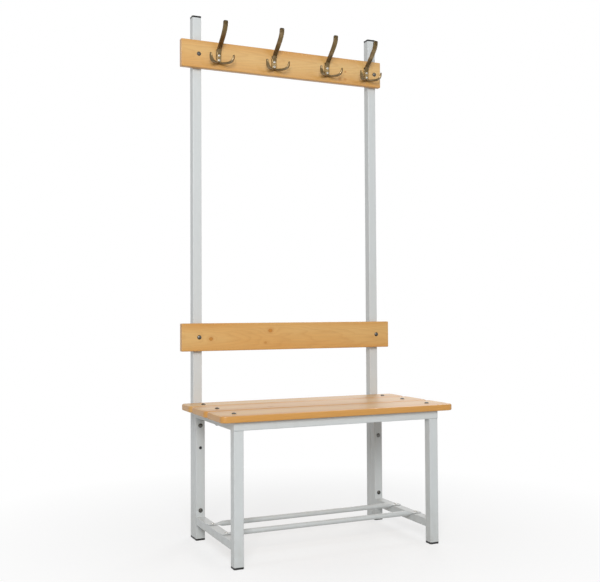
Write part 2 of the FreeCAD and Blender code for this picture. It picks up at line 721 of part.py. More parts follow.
def cross_bolts(name, stand_off, points):
    """Domed bolts along Y, with their heads a stand-off before the posts, and cap nuts behind."""
    length = stand_off + size["tube_width"] + size["nut_height"]
    fronts = [Vector(x, size["post_front"] - stand_off, z) for x, z in points]
    solid_group(f"{name}_bolts", copies(domed_bolt(length), fronts, HEAD_FORWARD))
    backs = [Vector(x, back_face, z) for x, z in points]
    solid_group(f"{name}_nuts", copies(cap_nut(), backs, NUT_BACKWARD))


middles = [size[level] + size["board_height"] / 2 for level in BOARDS.values()]
cross_bolts("board", size["board_thickness"], [(x, z) for x in columns for z in middles])
plugged_x = columns[list(SIDES).index(PLUGGED[0])]
leg_points = [(x, size[z]) for x in columns for z in LEG_BOLTS if (x, z) != (plugged_x, PLUGGED[1])]
cross_bolts("leg", size["tube_width"], leg_points)
plug_side, plug_level = PLUGGED
solid_group("hole_plug", [hole_plug()], SIDES[plug_side], "post_front - tube_width", plug_level, HEAD_FORWARD)

# Check and write
doc.recompute()
for item in doc.Objects:
    if "Invalid" in item.State or "Error" in item.State:
        raise RuntimeError(f"{item.Label} failed: {item.State}")
for item in parts:
    if item.Shape.isNull() or not item.Shape.isValid():
        raise RuntimeError(f"{item.Label} has no valid shape")
os.makedirs("parts", exist_ok=True)
for item in parts:
    item.Shape.exportStep(f"parts/{item.Label}.step")
print(len(parts), "sub-parts written")
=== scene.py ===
"""The looks of a changing room bench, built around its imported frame.

A slatted pine seat on a frame of painted square tube, with two tall posts that carry a backrest,
a hook board with four coat hooks, and a low rack of round rods for shoes. Lengths are metres,
in the frame's own axes: X along the bench, -Y towards whoever faces the seat, Z up.
"""

import logging
import math
from dataclasses import dataclass, field
from enum import Enum
from random import Random
from typing import Iterable, Sequence

import bmesh
import bpy
from mathutils import Matrix, Vector

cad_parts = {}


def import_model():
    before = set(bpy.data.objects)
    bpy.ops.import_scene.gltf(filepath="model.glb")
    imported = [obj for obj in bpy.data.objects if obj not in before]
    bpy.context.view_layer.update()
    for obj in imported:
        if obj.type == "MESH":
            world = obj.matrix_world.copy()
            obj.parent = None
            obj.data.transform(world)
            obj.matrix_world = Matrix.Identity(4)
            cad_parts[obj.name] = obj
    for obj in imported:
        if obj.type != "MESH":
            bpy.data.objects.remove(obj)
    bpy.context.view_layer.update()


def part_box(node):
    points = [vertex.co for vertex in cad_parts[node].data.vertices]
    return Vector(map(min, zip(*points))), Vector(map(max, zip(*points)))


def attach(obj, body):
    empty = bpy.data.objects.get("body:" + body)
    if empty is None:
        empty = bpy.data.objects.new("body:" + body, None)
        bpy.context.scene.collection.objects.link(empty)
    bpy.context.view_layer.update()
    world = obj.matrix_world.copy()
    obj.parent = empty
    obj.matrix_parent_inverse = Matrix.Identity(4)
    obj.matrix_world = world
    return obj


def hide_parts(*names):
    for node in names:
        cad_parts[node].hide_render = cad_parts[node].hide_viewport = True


log = logging.getLogger("bench")

Pair = tuple[float, float]
Triple = tuple[float, float, float]
Colour = Triple
Stops = tuple[Pair, ...]
Socket = bpy.types.NodeSocket

ROOT_BODY = "root"
SEED = 11


class Slot(Enum):
    """The record's material slots."""

    STEEL = "painted_steel"
    PINE = "lacquered_pine"
    BRONZE = "bronzed_metal"
    ZINC = "zinc_plated"
    PLASTIC = "black_plastic"


class Axis(Enum):
    """The three axes, each with its place in a vector."""

    X = 0
    Y = 1
    Z = 2


class Facing(Enum):
    """Which way a board's show face looks, as the turn about X that lays that face in X and Y."""

    UP = 0.0
    FRONT = -math.pi / 2


class Heading(Enum):
    """Which way a fastener's head points, as the turn about X from upright."""

    UP = 0.0
    FRONT = math.pi / 2
    BACK = -math.pi / 2


def linear(colour: Colour) -> tuple[float, ...]:
    """Turn a colour as a screen shows it into a shader's linear colour, by the sRGB curve."""
    levels = (c / 12.92 if c <= 0.04045 else ((c + 0.055) / 1.055) ** 2.4 for c in colour)
    return *levels, 1.0


class Nodes:
    """A node tree, with short calls that add nodes and join them.

    MIX_COLOURS and MIX_RESULT are the places of a mix node's two colours among its inputs and
    of the mixed colour among its outputs.
    """

    MIX_COLOURS = (6, 7)
    MIX_RESULT = 2

    def __init__(self, owner: bpy.types.Material | bpy.types.World) -> None:
        """Empty the node tree of a material or a world.

        Args:
            owner: The material or the world.
        """
        owner.use_nodes = True
        self.tree = owner.node_tree
        self.tree.nodes.clear()

    def add(self, kind: str, **settings: object) -> bpy.types.Node:
        """Add a node and set its properties.

        Args:
            kind: The node's type name.
            **settings: Properties of the node.

        Returns:
            The new node.
        """
        node = self.tree.nodes.new(kind)
        for key, value in settings.items():
            setattr(node, key, value)
        return node

    def feed(self, socket: Socket, value: object) -> None:
        """Give a socket its value, or link it where the value is another node's output.

        Args:
            socket: The input socket.
            value: A number, a vector, a colour or an output socket.
        """
        if isinstance(value, bpy.types.NodeSocket):
            self.tree.links.new(value, socket)
        else:
            socket.default_value = value

    def worked(
        self, kind: str, operation: str, values: Iterable[object], **settings: object
    ) -> bpy.types.Node:
        """Add a node that works something out, and feed it.

        Args:
            kind: The node's type name.
            operation: Its operation.
            values: What goes into it, in order.
            **settings: Other properties of the node.

        Returns:
            The new node.
        """
        node = self.add(kind, operation=operation, **settings)
        for socket, value in zip(node.inputs, values):
            self.feed(socket, value)
        return node

    def math(self, operation: str, *values: object, clamp: bool = False) -> Socket:
        """Work out a number, kept from 0 to 1 where clamp says so."""
        return self.worked("ShaderNodeMath", operation, values, use_clamp=clamp).outputs[0]

    def vector(self, operation: str, *values: object) -> Socket:
        """Work out a vector."""
        return self.worked("ShaderNodeVectorMath", operation, values).outputs["Vector"]

    def length(self, across: object, through: object) -> Socket:
        """Work out the length of two sides at right angles."""
        squares = self.math("MULTIPLY_ADD", across, across, self.math("MULTIPLY", through, through))
        return self.math("SQRT", squares)

    def axes(self, place: Socket) -> tuple[Socket, ...]:
        """Split a point into its distances along X, Y and Z.

        Args:
            place: The point's socket.

        Returns:
            The sockets of the three distances.
        """
        split = self.add("ShaderNodeSeparateXYZ")
        self.feed(split.inputs[0], place)
        return tuple(split.outputs)

    def noise(self, place: Socket, scale: float, detail: float) -> Socket:
        """Add smooth noise.

        Args:
            place: The point's socket.
            scale: How many lumps there are to a metre.
            detail: How many finer layers there are.

        Returns:
            The socket of the noise, from 0 to 1.
        """
        node = self.add("ShaderNodeTexNoise")
        self.feed(node.inputs["Vector"], place)
        node.inputs["Scale"].default_value = scale
        node.inputs["Detail"].default_value = detail
        return node.outputs[0]

    def ramp(self, value: Socket, stops: Stops) -> Socket:
        """Map a number through a line of straight runs.

        Args:
            value: The number's socket.
            stops: Pairs of a place from 0 to 1 and the level there, in order.

        Returns:
            The socket of the mapped number.
        """
        node = self.add("ShaderNodeValToRGB")
        elements = node.color_ramp.elements
        while len(elements) < len(stops):
            elements.new(1.0)
        for element, (at, level) in zip(elements, stops):
            element.position = at
            element.color = (level, level, level, 1.0)
        self.feed(node.inputs["Fac"], value)
        return node.outputs["Color"]

    def blend(self, share: object, first: object, second: object, mode: str = "MIX") -> Socket:
        """Blend two colours.

        Args:
            share: How much of the second colour shows, as a number or a socket.
            first: A linear colour or an output socket.
            second: A linear colour or an output socket.
            mode: The way they blend.

        Returns:
            The socket of the blended colour.
        """
        node = self.add("ShaderNodeMix", data_type="RGBA", blend_type=mode)
        self.feed(node.inputs[0], share)
        for number, colour in zip(self.MIX_COLOURS, (first, second)):
            self.feed(node.inputs[number], colour)
        return node.outputs[self.MIX_RESULT]

    def seen(self) -> Socket:
        """Tell the rays that look at a thing from those that only carry its light.

        Returns:
            A socket of 1 for camera, glossy and transmission rays, otherwise of 0.
        """
        rays = self.add("ShaderNodeLightPath").outputs
        first = self.math("MAXIMUM", rays["Is Camera Ray"], rays["Is Glossy Ray"])
        return self.math("MAXIMUM", first, rays["Is Transmission Ray"])


@dataclass(frozen=True)
class Patches:
    """A pattern of soft patches.

    Attributes:
        scale: How many patches there are to a metre, or how many along each axis.
        detail: How many finer layers they have.
        stops: Pairs of a level of the pattern and the level to show there. Without them it shows as it is.
    """

    scale: float | Triple
    detail: float
    stops: Stops = ()


class Recipe(Nodes):
    """A material in the making, on the coordinates of the object that wears it."""

    def __init__(self, name: str) -> None:
        """Start an empty material with its output.

        Args:
            name: The material's name.
        """
        self.material = bpy.data.materials.new(name)
        super().__init__(self.material)
        self.output = self.add("ShaderNodeOutputMaterial")
        self.place = self.add("ShaderNodeTexCoord").outputs["Object"]

    def stretched(self, scale: Triple) -> Socket:
        """Scale the object's axes, each by its own share."""
        return self.vector("MULTIPLY", self.place, scale)

    def patches(self, patches: Patches) -> Socket:
        """Lay patches over the object.

        Args:
            patches: Their size and strength.

        Returns:
            The socket of the pattern, from 0 to 1.
        """
        if isinstance(patches.scale, tuple):
            pattern = self.noise(self.stretched(patches.scale), 1.0, patches.detail)
        else:
            pattern = self.noise(self.place, patches.scale, patches.detail)
        return self.ramp(pattern, patches.stops) if patches.stops else pattern

    def relief(self, height: Socket, depth: float, below: Socket | None = None) -> Socket:
        """Turn a height into a surface that tilts with it.

        Args:
            height: The height's socket, from 0 to 1.
            depth: How high a height of 1 stands, in metres.
            below: The socket of a coarser relief under this one, or None.

        Returns:
            The socket of the normal.
        """
        node = self.add("ShaderNodeBump")
        node.inputs["Distance"].default_value = depth
        self.feed(node.inputs["Height"], height)
        if below is not None:
            self.feed(node.inputs["Normal"], below)
        return node.outputs["Normal"]

    def duller(self, mask: Socket, roughness: Pair) -> Socket:
        """Work out a roughness that grows where a mask shows."""
        return self.math("MULTIPLY_ADD", mask, roughness[1], roughness[0])

    def shade(self, **inputs: object) -> bpy.types.Material:
        """Finish the material with one surface shader.

        Args:
            **inputs: The shader's inputs by name, with underscores for spaces.

        Returns:
            The finished material.
        """
        shader = self.add("ShaderNodeBsdfPrincipled")
        for key, value in inputs.items():
            self.feed(shader.inputs[key.replace("_", " ")], value)
        self.feed(self.output.inputs["Surface"], shader.outputs["BSDF"])
        return self.material


@dataclass(frozen=True)
class PowderCoat:
    """Satin powder paint on steel tube: an even grey with a fine orange peel and faint rub marks.

    Attributes:
        name: The material's name.
        colour: The paint, as it shows.
        rubbed: The same paint where hands and shoes have dulled it.
        rub_share: How much of that colour shows at most.
        dusty: The paint close to the floor.
        dust_height: How far up from the floor the dust reaches.
        peel: Depth of the orange peel.
        roughness: How dull the paint is, and how much duller where it is rubbed.
        skin: Weight and roughness of its glossy skin.
    """

    name: str = "grey_powder_coat"
    colour: Colour = (0.815, 0.832, 0.835)
    rubbed: Colour = (0.775, 0.79, 0.79)
    rub_share: float = 0.5
    dusty: Colour = (0.745, 0.75, 0.74)
    dust_height: float = 0.16
    peel: float = 0.00006
    roughness: Pair = (0.34, 0.18)
    skin: Pair = (0.15, 0.2)

    RUB_CLOUDS = Patches(9.0, 3.0, ((0.35, 0.0), (0.75, 1.0)))
    RUB_STREAKS = Patches((60.0, 60.0, 9.0), 3.0, ((0.45, 0.0), (0.7, 1.0)))
    DUST = Patches(40.0, 4.0, ((0.3, 0.1), (0.7, 0.8)))
    FINE_PEEL = Patches(900.0, 1.0)
    WIDE_PEEL = Patches(120.0, 2.0)

    def material(self) -> bpy.types.Material:
        """Build the paint.

        Returns:
            The finished material.
        """
        recipe = Recipe(self.name)
        rub = recipe.math("MULTIPLY", recipe.patches(self.RUB_CLOUDS), recipe.patches(self.RUB_STREAKS))
        height = recipe.axes(recipe.place)[Axis.Z.value]
        low = recipe.math("SUBTRACT", 1.0, recipe.math("DIVIDE", height, self.dust_height), clamp=True)
        dust = recipe.math("MULTIPLY", low, recipe.patches(self.DUST))
        worn = recipe.math("MULTIPLY", rub, self.rub_share)
        paint = recipe.blend(worn, linear(self.colour), linear(self.rubbed))
        paint = recipe.blend(dust, paint, linear(self.dusty))
        fine = recipe.relief(recipe.patches(self.FINE_PEEL), self.peel)
        normal = recipe.relief(recipe.patches(self.WIDE_PEEL), self.peel, fine)
        return recipe.shade(
            Base_Color=paint,
            Roughness=recipe.duller(rub, self.roughness),
            Normal=normal,
            Coat_Weight=self.skin[0],
            Coat_Roughness=self.skin[1],
        )


@dataclass(frozen=True)
class Knot:
    """A knot in a board.

    Attributes:
        along: Its distance from the board's middle along the grain.
        across: Its distance from the board's middle across the grain.
        radius: Half of its width.
        dark: How dark it is, from 0 to 1.
    """

    along: float
    across: float
    radius: float
    dark: float


@dataclass(frozen=True)
class Sawing:
    """How a board was cut from its tree.

    Attributes:
        facing: The way the board's show face looks.
        pith: Where the tree's middle lies from the board's middle, across it and through it.
        tilt: How much the pith wanders across and through the board for each metre along it.
        knots: The board's knots.
    """

    facing: Facing
    pith: Pair
    tilt: Pair
    knots: tuple[Knot, ...]


class Timber(Recipe):
    """A wood in the making, on the axes of its own board: along it, across it and through it.

    SHIFT moves its patterns by where its pith and its middle lie, so that no two boards match.
    """

    SHIFT = 100.0

    def __init__(self, name: str, sawing: Sawing, middle: Vector) -> None:
        """Lay the board flat about its own middle.

        Args:
            name: The material's name.
            sawing: How the board was cut.
            middle: The board's middle.
        """
        super().__init__(name)
        turn = sawing.facing.value
        mapping = self.add("ShaderNodeMapping", vector_type="POINT")
        mapping.inputs["Rotation"].default_value = (turn, 0.0, 0.0)
        mapping.inputs["Location"].default_value = -(Matrix.Rotation(turn, 3, "X") @ middle)
        self.feed(mapping.inputs["Vector"], self.place)
        self.board = mapping.outputs[0]
        self.along, self.across, self.through = self.axes(self.board)
        self.shift = tuple(self.SHIFT * side for side in (*sawing.pith, middle.y))

    def stretched(self, scale: Triple) -> Socket:
        """Scale the board's axes, from a place in the pattern that no other board has."""
        return self.vector("ADD", self.vector("MULTIPLY", self.board, scale), self.shift)

    def distance(self, knot: Knot, length_share: float) -> Socket:
        """Measure how far a point is from a knot, in the knot's own radii.

        Args:
            knot: The knot.
            length_share: How much a step along the grain counts against one across it.

        Returns:
            The distance's socket.
        """
        sides = []
        for axis, start, share in ((self.along, knot.along, length_share), (self.across, knot.across, 1.0)):
            step = share / knot.radius
            sides.append(self.math("MULTIPLY_ADD", axis, step, -start * step))
        return self.length(*sides)


@dataclass(frozen=True)
class LacqueredPine:
    """Sawn pine under a clear satin lacquer: growth rings cut lengthwise, fibres and knots.

    The tables of pairs are the stops of ramps. A knot's run out from its middle over KNOT_REACH
    of its radii, with KNOT_RINGS fine rings on the way, and KNOT_RAGGED frays its rim.

    Attributes:
        name: The material's name.
        middle: The board's middle.
        half_length: Half of the board's length.
        sawing: How the board was cut.
        early: The pale spring wood.
        late: The dark lines of summer wood.
        flushed: The warmer tone of some stretches.
        knot_wood: The wood of a knot.
        bark: The dark line round a knot.
        end_grain_and_shade: The wood of the sawn ends, darker where the lacquer sinks in, with painted shade
            on top.
        ring: Distance from one dark line to the next.
        ring_share: How dark the dark lines are.
        sway: How far the lines wander across the board and through it.
        bend: How far they bend round a knot, in its radii, how fast that fades, and over what length.
        band: How far from the board's middle, across it, its wood turns warmer.
        band_share: How much warmer it is there.
        pore_share: How dark the pores are.
        sawn: How far from the end the sawn wood and its painted shade start, and over what length they fade
            in.
        end_grain_and_shade_share: How much of that colour shows.
        relief: Depth of the grain, and the shares of the rings and the fibres in it.
        roughness: How dull the wood is, and how much duller on its fibres.
        lacquer: Weight and roughness of the lacquer.
    """

    name: str
    middle: Vector
    half_length: float
    sawing: Sawing
    early: Colour = (0.88, 0.72, 0.455)
    late: Colour = (0.76, 0.54, 0.26)
    flushed: Colour = (0.83, 0.60, 0.29)
    knot_wood: Colour = (0.78, 0.51, 0.10)
    bark: Colour = (0.62, 0.38, 0.07)
    end_grain_and_shade: Colour = (0.79, 0.575, 0.30)
    ring: float = 0.0042
    ring_share: float = 0.3
    sway: Pair = (0.020, 0.026)
    bend: Triple = (1.6, -0.22, 0.45)
    band: float = 0.055
    band_share: float = 0.8
    pore_share: float = 0.28
    sawn: Pair = (0.0016, 0.0012)
    end_grain_and_shade_share: float = 0.8
    relief: Triple = (0.00012, 0.7, 0.3)
    roughness: Pair = (0.36, 0.16)
    lacquer: Pair = (0.3, 0.22)

    TONE = Patches((2.2, 14.0, 14.0), 2.0, ((0.3, 0.0), (0.72, 0.7)))
    WANDER = Patches((3.4, 16.0, 16.0), 3.0)
    FIBRES = Patches((14.0, 650.0, 650.0), 3.0)
    FIBRE_SHADE = ((0.25, 0.88), (0.7, 1.0))
    PORES = Patches((60.0, 1500.0, 1500.0), 1.0, ((0.66, 0.0), (0.74, 1.0)))
    RING_SHADE = ((0.0, 0.15), (0.42, 0.06), (0.78, 0.62), (0.9, 1.0), (1.0, 0.15))
    KNOT_RAGGED = Patches(260.0, 2.0)
    KNOT_RAGGED_SHARE = 0.45
    KNOT_LENGTH_SHARE = 0.85
    KNOT_REACH = 4.0
    KNOT_FLUSH = ((0.2, 0.75), (0.55, 0.0))
    KNOT_CORE = ((0.2, 1.0), (0.27, 0.0))
    KNOT_RIM = ((0.17, 0.0), (0.235, 1.0), (0.3, 0.0))
    KNOT_RIM_SHARE = 0.75
    KNOT_RINGS = 15.0
    KNOT_RING_SHADE = ((0.0, 0.0), (1.0, 0.5))

    def material(self) -> bpy.types.Material:
        """Build the wood.

        Returns:
            The finished material.
        """
        timber = Timber(self.name, self.sawing, self.middle)
        rings = self.growth_rings(timber)
        fibres = timber.patches(self.FIBRES)
        aside = timber.math("DIVIDE", timber.across, self.band)
        outer = timber.math("MULTIPLY", aside, aside)
        tone = timber.math("MULTIPLY_ADD", outer, self.band_share, timber.patches(self.TONE), clamp=True)
        wood = timber.blend(tone, linear(self.early), linear(self.flushed))
        wood = timber.blend(timber.math("MULTIPLY", rings, self.ring_share), wood, linear(self.late))
        wood = timber.blend(1.0, wood, timber.ramp(fibres, self.FIBRE_SHADE), "MULTIPLY")
        pores = timber.math("MULTIPLY", timber.patches(self.PORES), self.pore_share)
        wood = timber.blend(pores, wood, linear(self.knot_wood))
        for knot in self.sawing.knots:
            wood = self.knotted(timber, wood, knot)
        wood = self.soaked_and_shaded_ends(timber, wood)
        depth, ring_height, fibre_height = self.relief
        height = timber.math("MULTIPLY", fibres, fibre_height)
        height = timber.math("MULTIPLY_ADD", rings, ring_height, height)
        return timber.shade(
            Base_Color=wood,
            Roughness=timber.duller(fibres, self.roughness),
            Normal=timber.relief(height, depth),
            Coat_Weight=self.lacquer[0],
            Coat_Roughness=self.lacquer[1],
        )

    def soaked_and_shaded_ends(self, timber: Timber, wood: Socket) -> Socket:
        """Darken the sawn ends, where the lacquer sinks in, and paint the shade that lies on them.

        Args:
            timber: The wood in the making.
            wood: The colour so far.

        Returns:
            The new colour's socket.
        """
        # Painted shade as well as end grain: the colour darkens over the last millimetres towards each end.
        start, fade = self.sawn
        reach = timber.math("SUBTRACT", timber.math("ABSOLUTE", timber.along), self.half_length - start)
        sawn = timber.math("DIVIDE", reach, fade, clamp=True)
        return timber.blend(timber.math("MULTIPLY", sawn, self.end_grain_and_shade_share), wood, linear(self.end_grain_and_shade))

    def growth_rings(self, timber: Timber) -> Socket:
        """Draw the growth rings as shells about the pith, bent aside by each knot.

        Args:
            timber: The wood in the making.

        Returns:
            The socket of the rings' darkness, from 0 to 1.
        """
        wander = timber.math("SUBTRACT", timber.patches(self.WANDER), 0.5)
        sides = []
        axes = (timber.across, timber.through)
        for axis, offset, tilt, sway in zip(axes, self.sawing.pith, self.sawing.tilt, self.sway):
            drifted = timber.math("MULTIPLY_ADD", timber.along, tilt, timber.math("SUBTRACT", axis, offset))
            sides.append(timber.math("MULTIPLY_ADD", wander, sway, drifted))
        radius = timber.length(*sides)
        radii, fading, length_share = self.bend
        for knot in self.sawing.knots:
            near = timber.distance(knot, length_share)
            fall = timber.math("MULTIPLY", timber.math("MULTIPLY", near, near), fading)
            swell = timber.math("EXPONENT", fall)
            radius = timber.math("MULTIPLY_ADD", swell, knot.radius * radii, radius)
        return timber.ramp(timber.math("FRACT", timber.math("DIVIDE", radius, self.ring)), self.RING_SHADE)

    def knotted(self, timber: Timber, wood: Socket, knot: Knot) -> Socket:
        """Paint a knot: a flush round it, its dark rim and the fine rings inside.

        Args:
            timber: The wood in the making.
            wood: The colour so far.
            knot: The knot.

        Returns:
            The new colour's socket.
        """
        ragged = timber.math("SUBTRACT", timber.patches(self.KNOT_RAGGED), 0.5)
        near = timber.distance(knot, self.KNOT_LENGTH_SHARE)
        near = timber.math("MULTIPLY_ADD", ragged, self.KNOT_RAGGED_SHARE, near)
        near = timber.math("DIVIDE", near, self.KNOT_REACH)
        ripple = timber.math("FRACT", timber.math("MULTIPLY", near, self.KNOT_RINGS))
        heart = timber.blend(
            timber.ramp(ripple, self.KNOT_RING_SHADE), linear(self.knot_wood), linear(self.bark)
        )
        core = timber.math("MULTIPLY", timber.ramp(near, self.KNOT_CORE), knot.dark)
        rim = timber.math("MULTIPLY", timber.ramp(near, self.KNOT_RIM), knot.dark * self.KNOT_RIM_SHARE)
        wood = timber.blend(timber.ramp(near, self.KNOT_FLUSH), wood, linear(self.late))
        wood = timber.blend(core, wood, heart)
        return timber.blend(rim, wood, linear(self.bark))


@dataclass(frozen=True)
class BronzedCasting:
    """A die casting with a dark bronzed plating, rubbed brighter in soft patches.

    TIP_PAINTED_SHADE is a painted shade: the ramp that darkens its colour at the tips' blunt ends, which lie
    in shadow, from there down over tip_shade_depth.

    Attributes:
        name: The material's name.
        colour: The plating.
        bright: The plating where coats have rubbed it.
        roughness: How dull it is where it is smooth, and how much duller on its grain.
        grain: Depth of the casting's grain.
        tip_shade_top: Height of the tips' ends, where the painted shade is darkest.
        tip_shade_depth: How far down from there the painted shade reaches.
    """

    name: str = "bronzed_casting"
    colour: Colour = (0.44, 0.37, 0.25)
    bright: Colour = (0.60, 0.52, 0.40)
    roughness: Pair = (0.17, 0.14)
    grain: float = 0.00005
    tip_shade_top: float = 1.663
    tip_shade_depth: float = 0.016

    RUBBED = Patches(55.0, 3.0, ((0.42, 0.0), (0.72, 0.75)))
    GRAIN = Patches(420.0, 2.0)
    TIP_PAINTED_SHADE = ((0.2, 0.35), (1.0, 1.0))

    def material(self) -> bpy.types.Material:
        """Build the plating.

        Returns:
            The finished material.
        """
        recipe = Recipe(self.name)
        plating = recipe.blend(recipe.patches(self.RUBBED), linear(self.colour), linear(self.bright))
        # Painted shade: the colour darkens towards the tips' blunt ends, which lie in shadow.
        below = recipe.math("SUBTRACT", self.tip_shade_top, recipe.axes(recipe.place)[Axis.Z.value])
        shade = recipe.ramp(recipe.math("DIVIDE", below, self.tip_shade_depth, clamp=True), self.TIP_PAINTED_SHADE)
        grain = recipe.patches(self.GRAIN)
        return recipe.shade(
            Base_Color=recipe.blend(1.0, plating, shade, "MULTIPLY"),
            Metallic=1.0,
            Roughness=recipe.duller(grain, self.roughness),
            Normal=recipe.relief(grain, self.grain),
        )


@dataclass(frozen=True)
class WornFinish:
    """A finish of one colour that shows a second one where it is worn.

    Attributes:
        name: The material's name.
        colour: The finish, as it shows.
        worn: Its colour where it is worn.
        wear: Where it is worn.
        roughness: How dull it is, and how much duller where it is worn.
        grain: The pattern of its grain.
        grain_depth: How deep the grain is.
        metallic: 1 for a metal, otherwise 0.
    """

    name: str
    colour: Colour
    worn: Colour
    wear: Patches
    roughness: Pair
    grain: Patches
    grain_depth: float
    metallic: float

    def material(self) -> bpy.types.Material:
        """Build the finish.

        Returns:
            The finished material.
        """
        recipe = Recipe(self.name)
        wear = recipe.patches(self.wear)
        return recipe.shade(
            Base_Color=recipe.blend(wear, linear(self.colour), linear(self.worn)),
            Metallic=self.metallic,
            Roughness=recipe.duller(wear, self.roughness),
            Normal=recipe.relief(recipe.patches(self.grain), self.grain_depth),
        )


@dataclass(frozen=True)
class ZincPlateWithPaintedShade(WornFinish):
    """Zinc plating, clouded in patches, its colours darkened as painted shade for the shadow and dark
    reflections on the bolt heads.
    """

    name: str = "zinc_plate_with_painted_shade"
    # Painted shade: both colours are darker than zinc, standing in for the bolt heads' shadow and dark
    # reflections.
    colour: Colour = (0.43, 0.425, 0.41)
    worn: Colour = (0.20, 0.195, 0.18)
    wear: Patches = Patches(240.0, 3.0, ((0.35, 0.0), (0.7, 1.0)))
    roughness: Pair = (0.26, 0.2)
    grain: Patches = Patches(1800.0, 1.0)
    grain_depth: float = 0.00002
    metallic: float = 1.0


@dataclass(frozen=True)
class BrightZincPlate(ZincPlateWithPaintedShade):
    """The brighter zinc of the screws."""

    name: str = "bright_zinc_plate"
    colour: Colour = (0.86, 0.855, 0.84)
    worn: Colour = (0.66, 0.655, 0.64)


@dataclass(frozen=True)
class MouldedPlastic(WornFinish):
    """Black moulded plastic with a fine spark-eroded grain and scuffs."""

    name: str = "black_moulded_plastic"
    colour: Colour = (0.035, 0.035, 0.038)
    worn: Colour = (0.10, 0.10, 0.10)
    wear: Patches = Patches(190.0, 4.0, ((0.56, 0.0), (0.72, 0.8)))
    roughness: Pair = (0.45, 0.15)
    grain: Patches = Patches(2600.0, 1.0)
    grain_depth: float = 0.00004
    metallic: float = 0.0


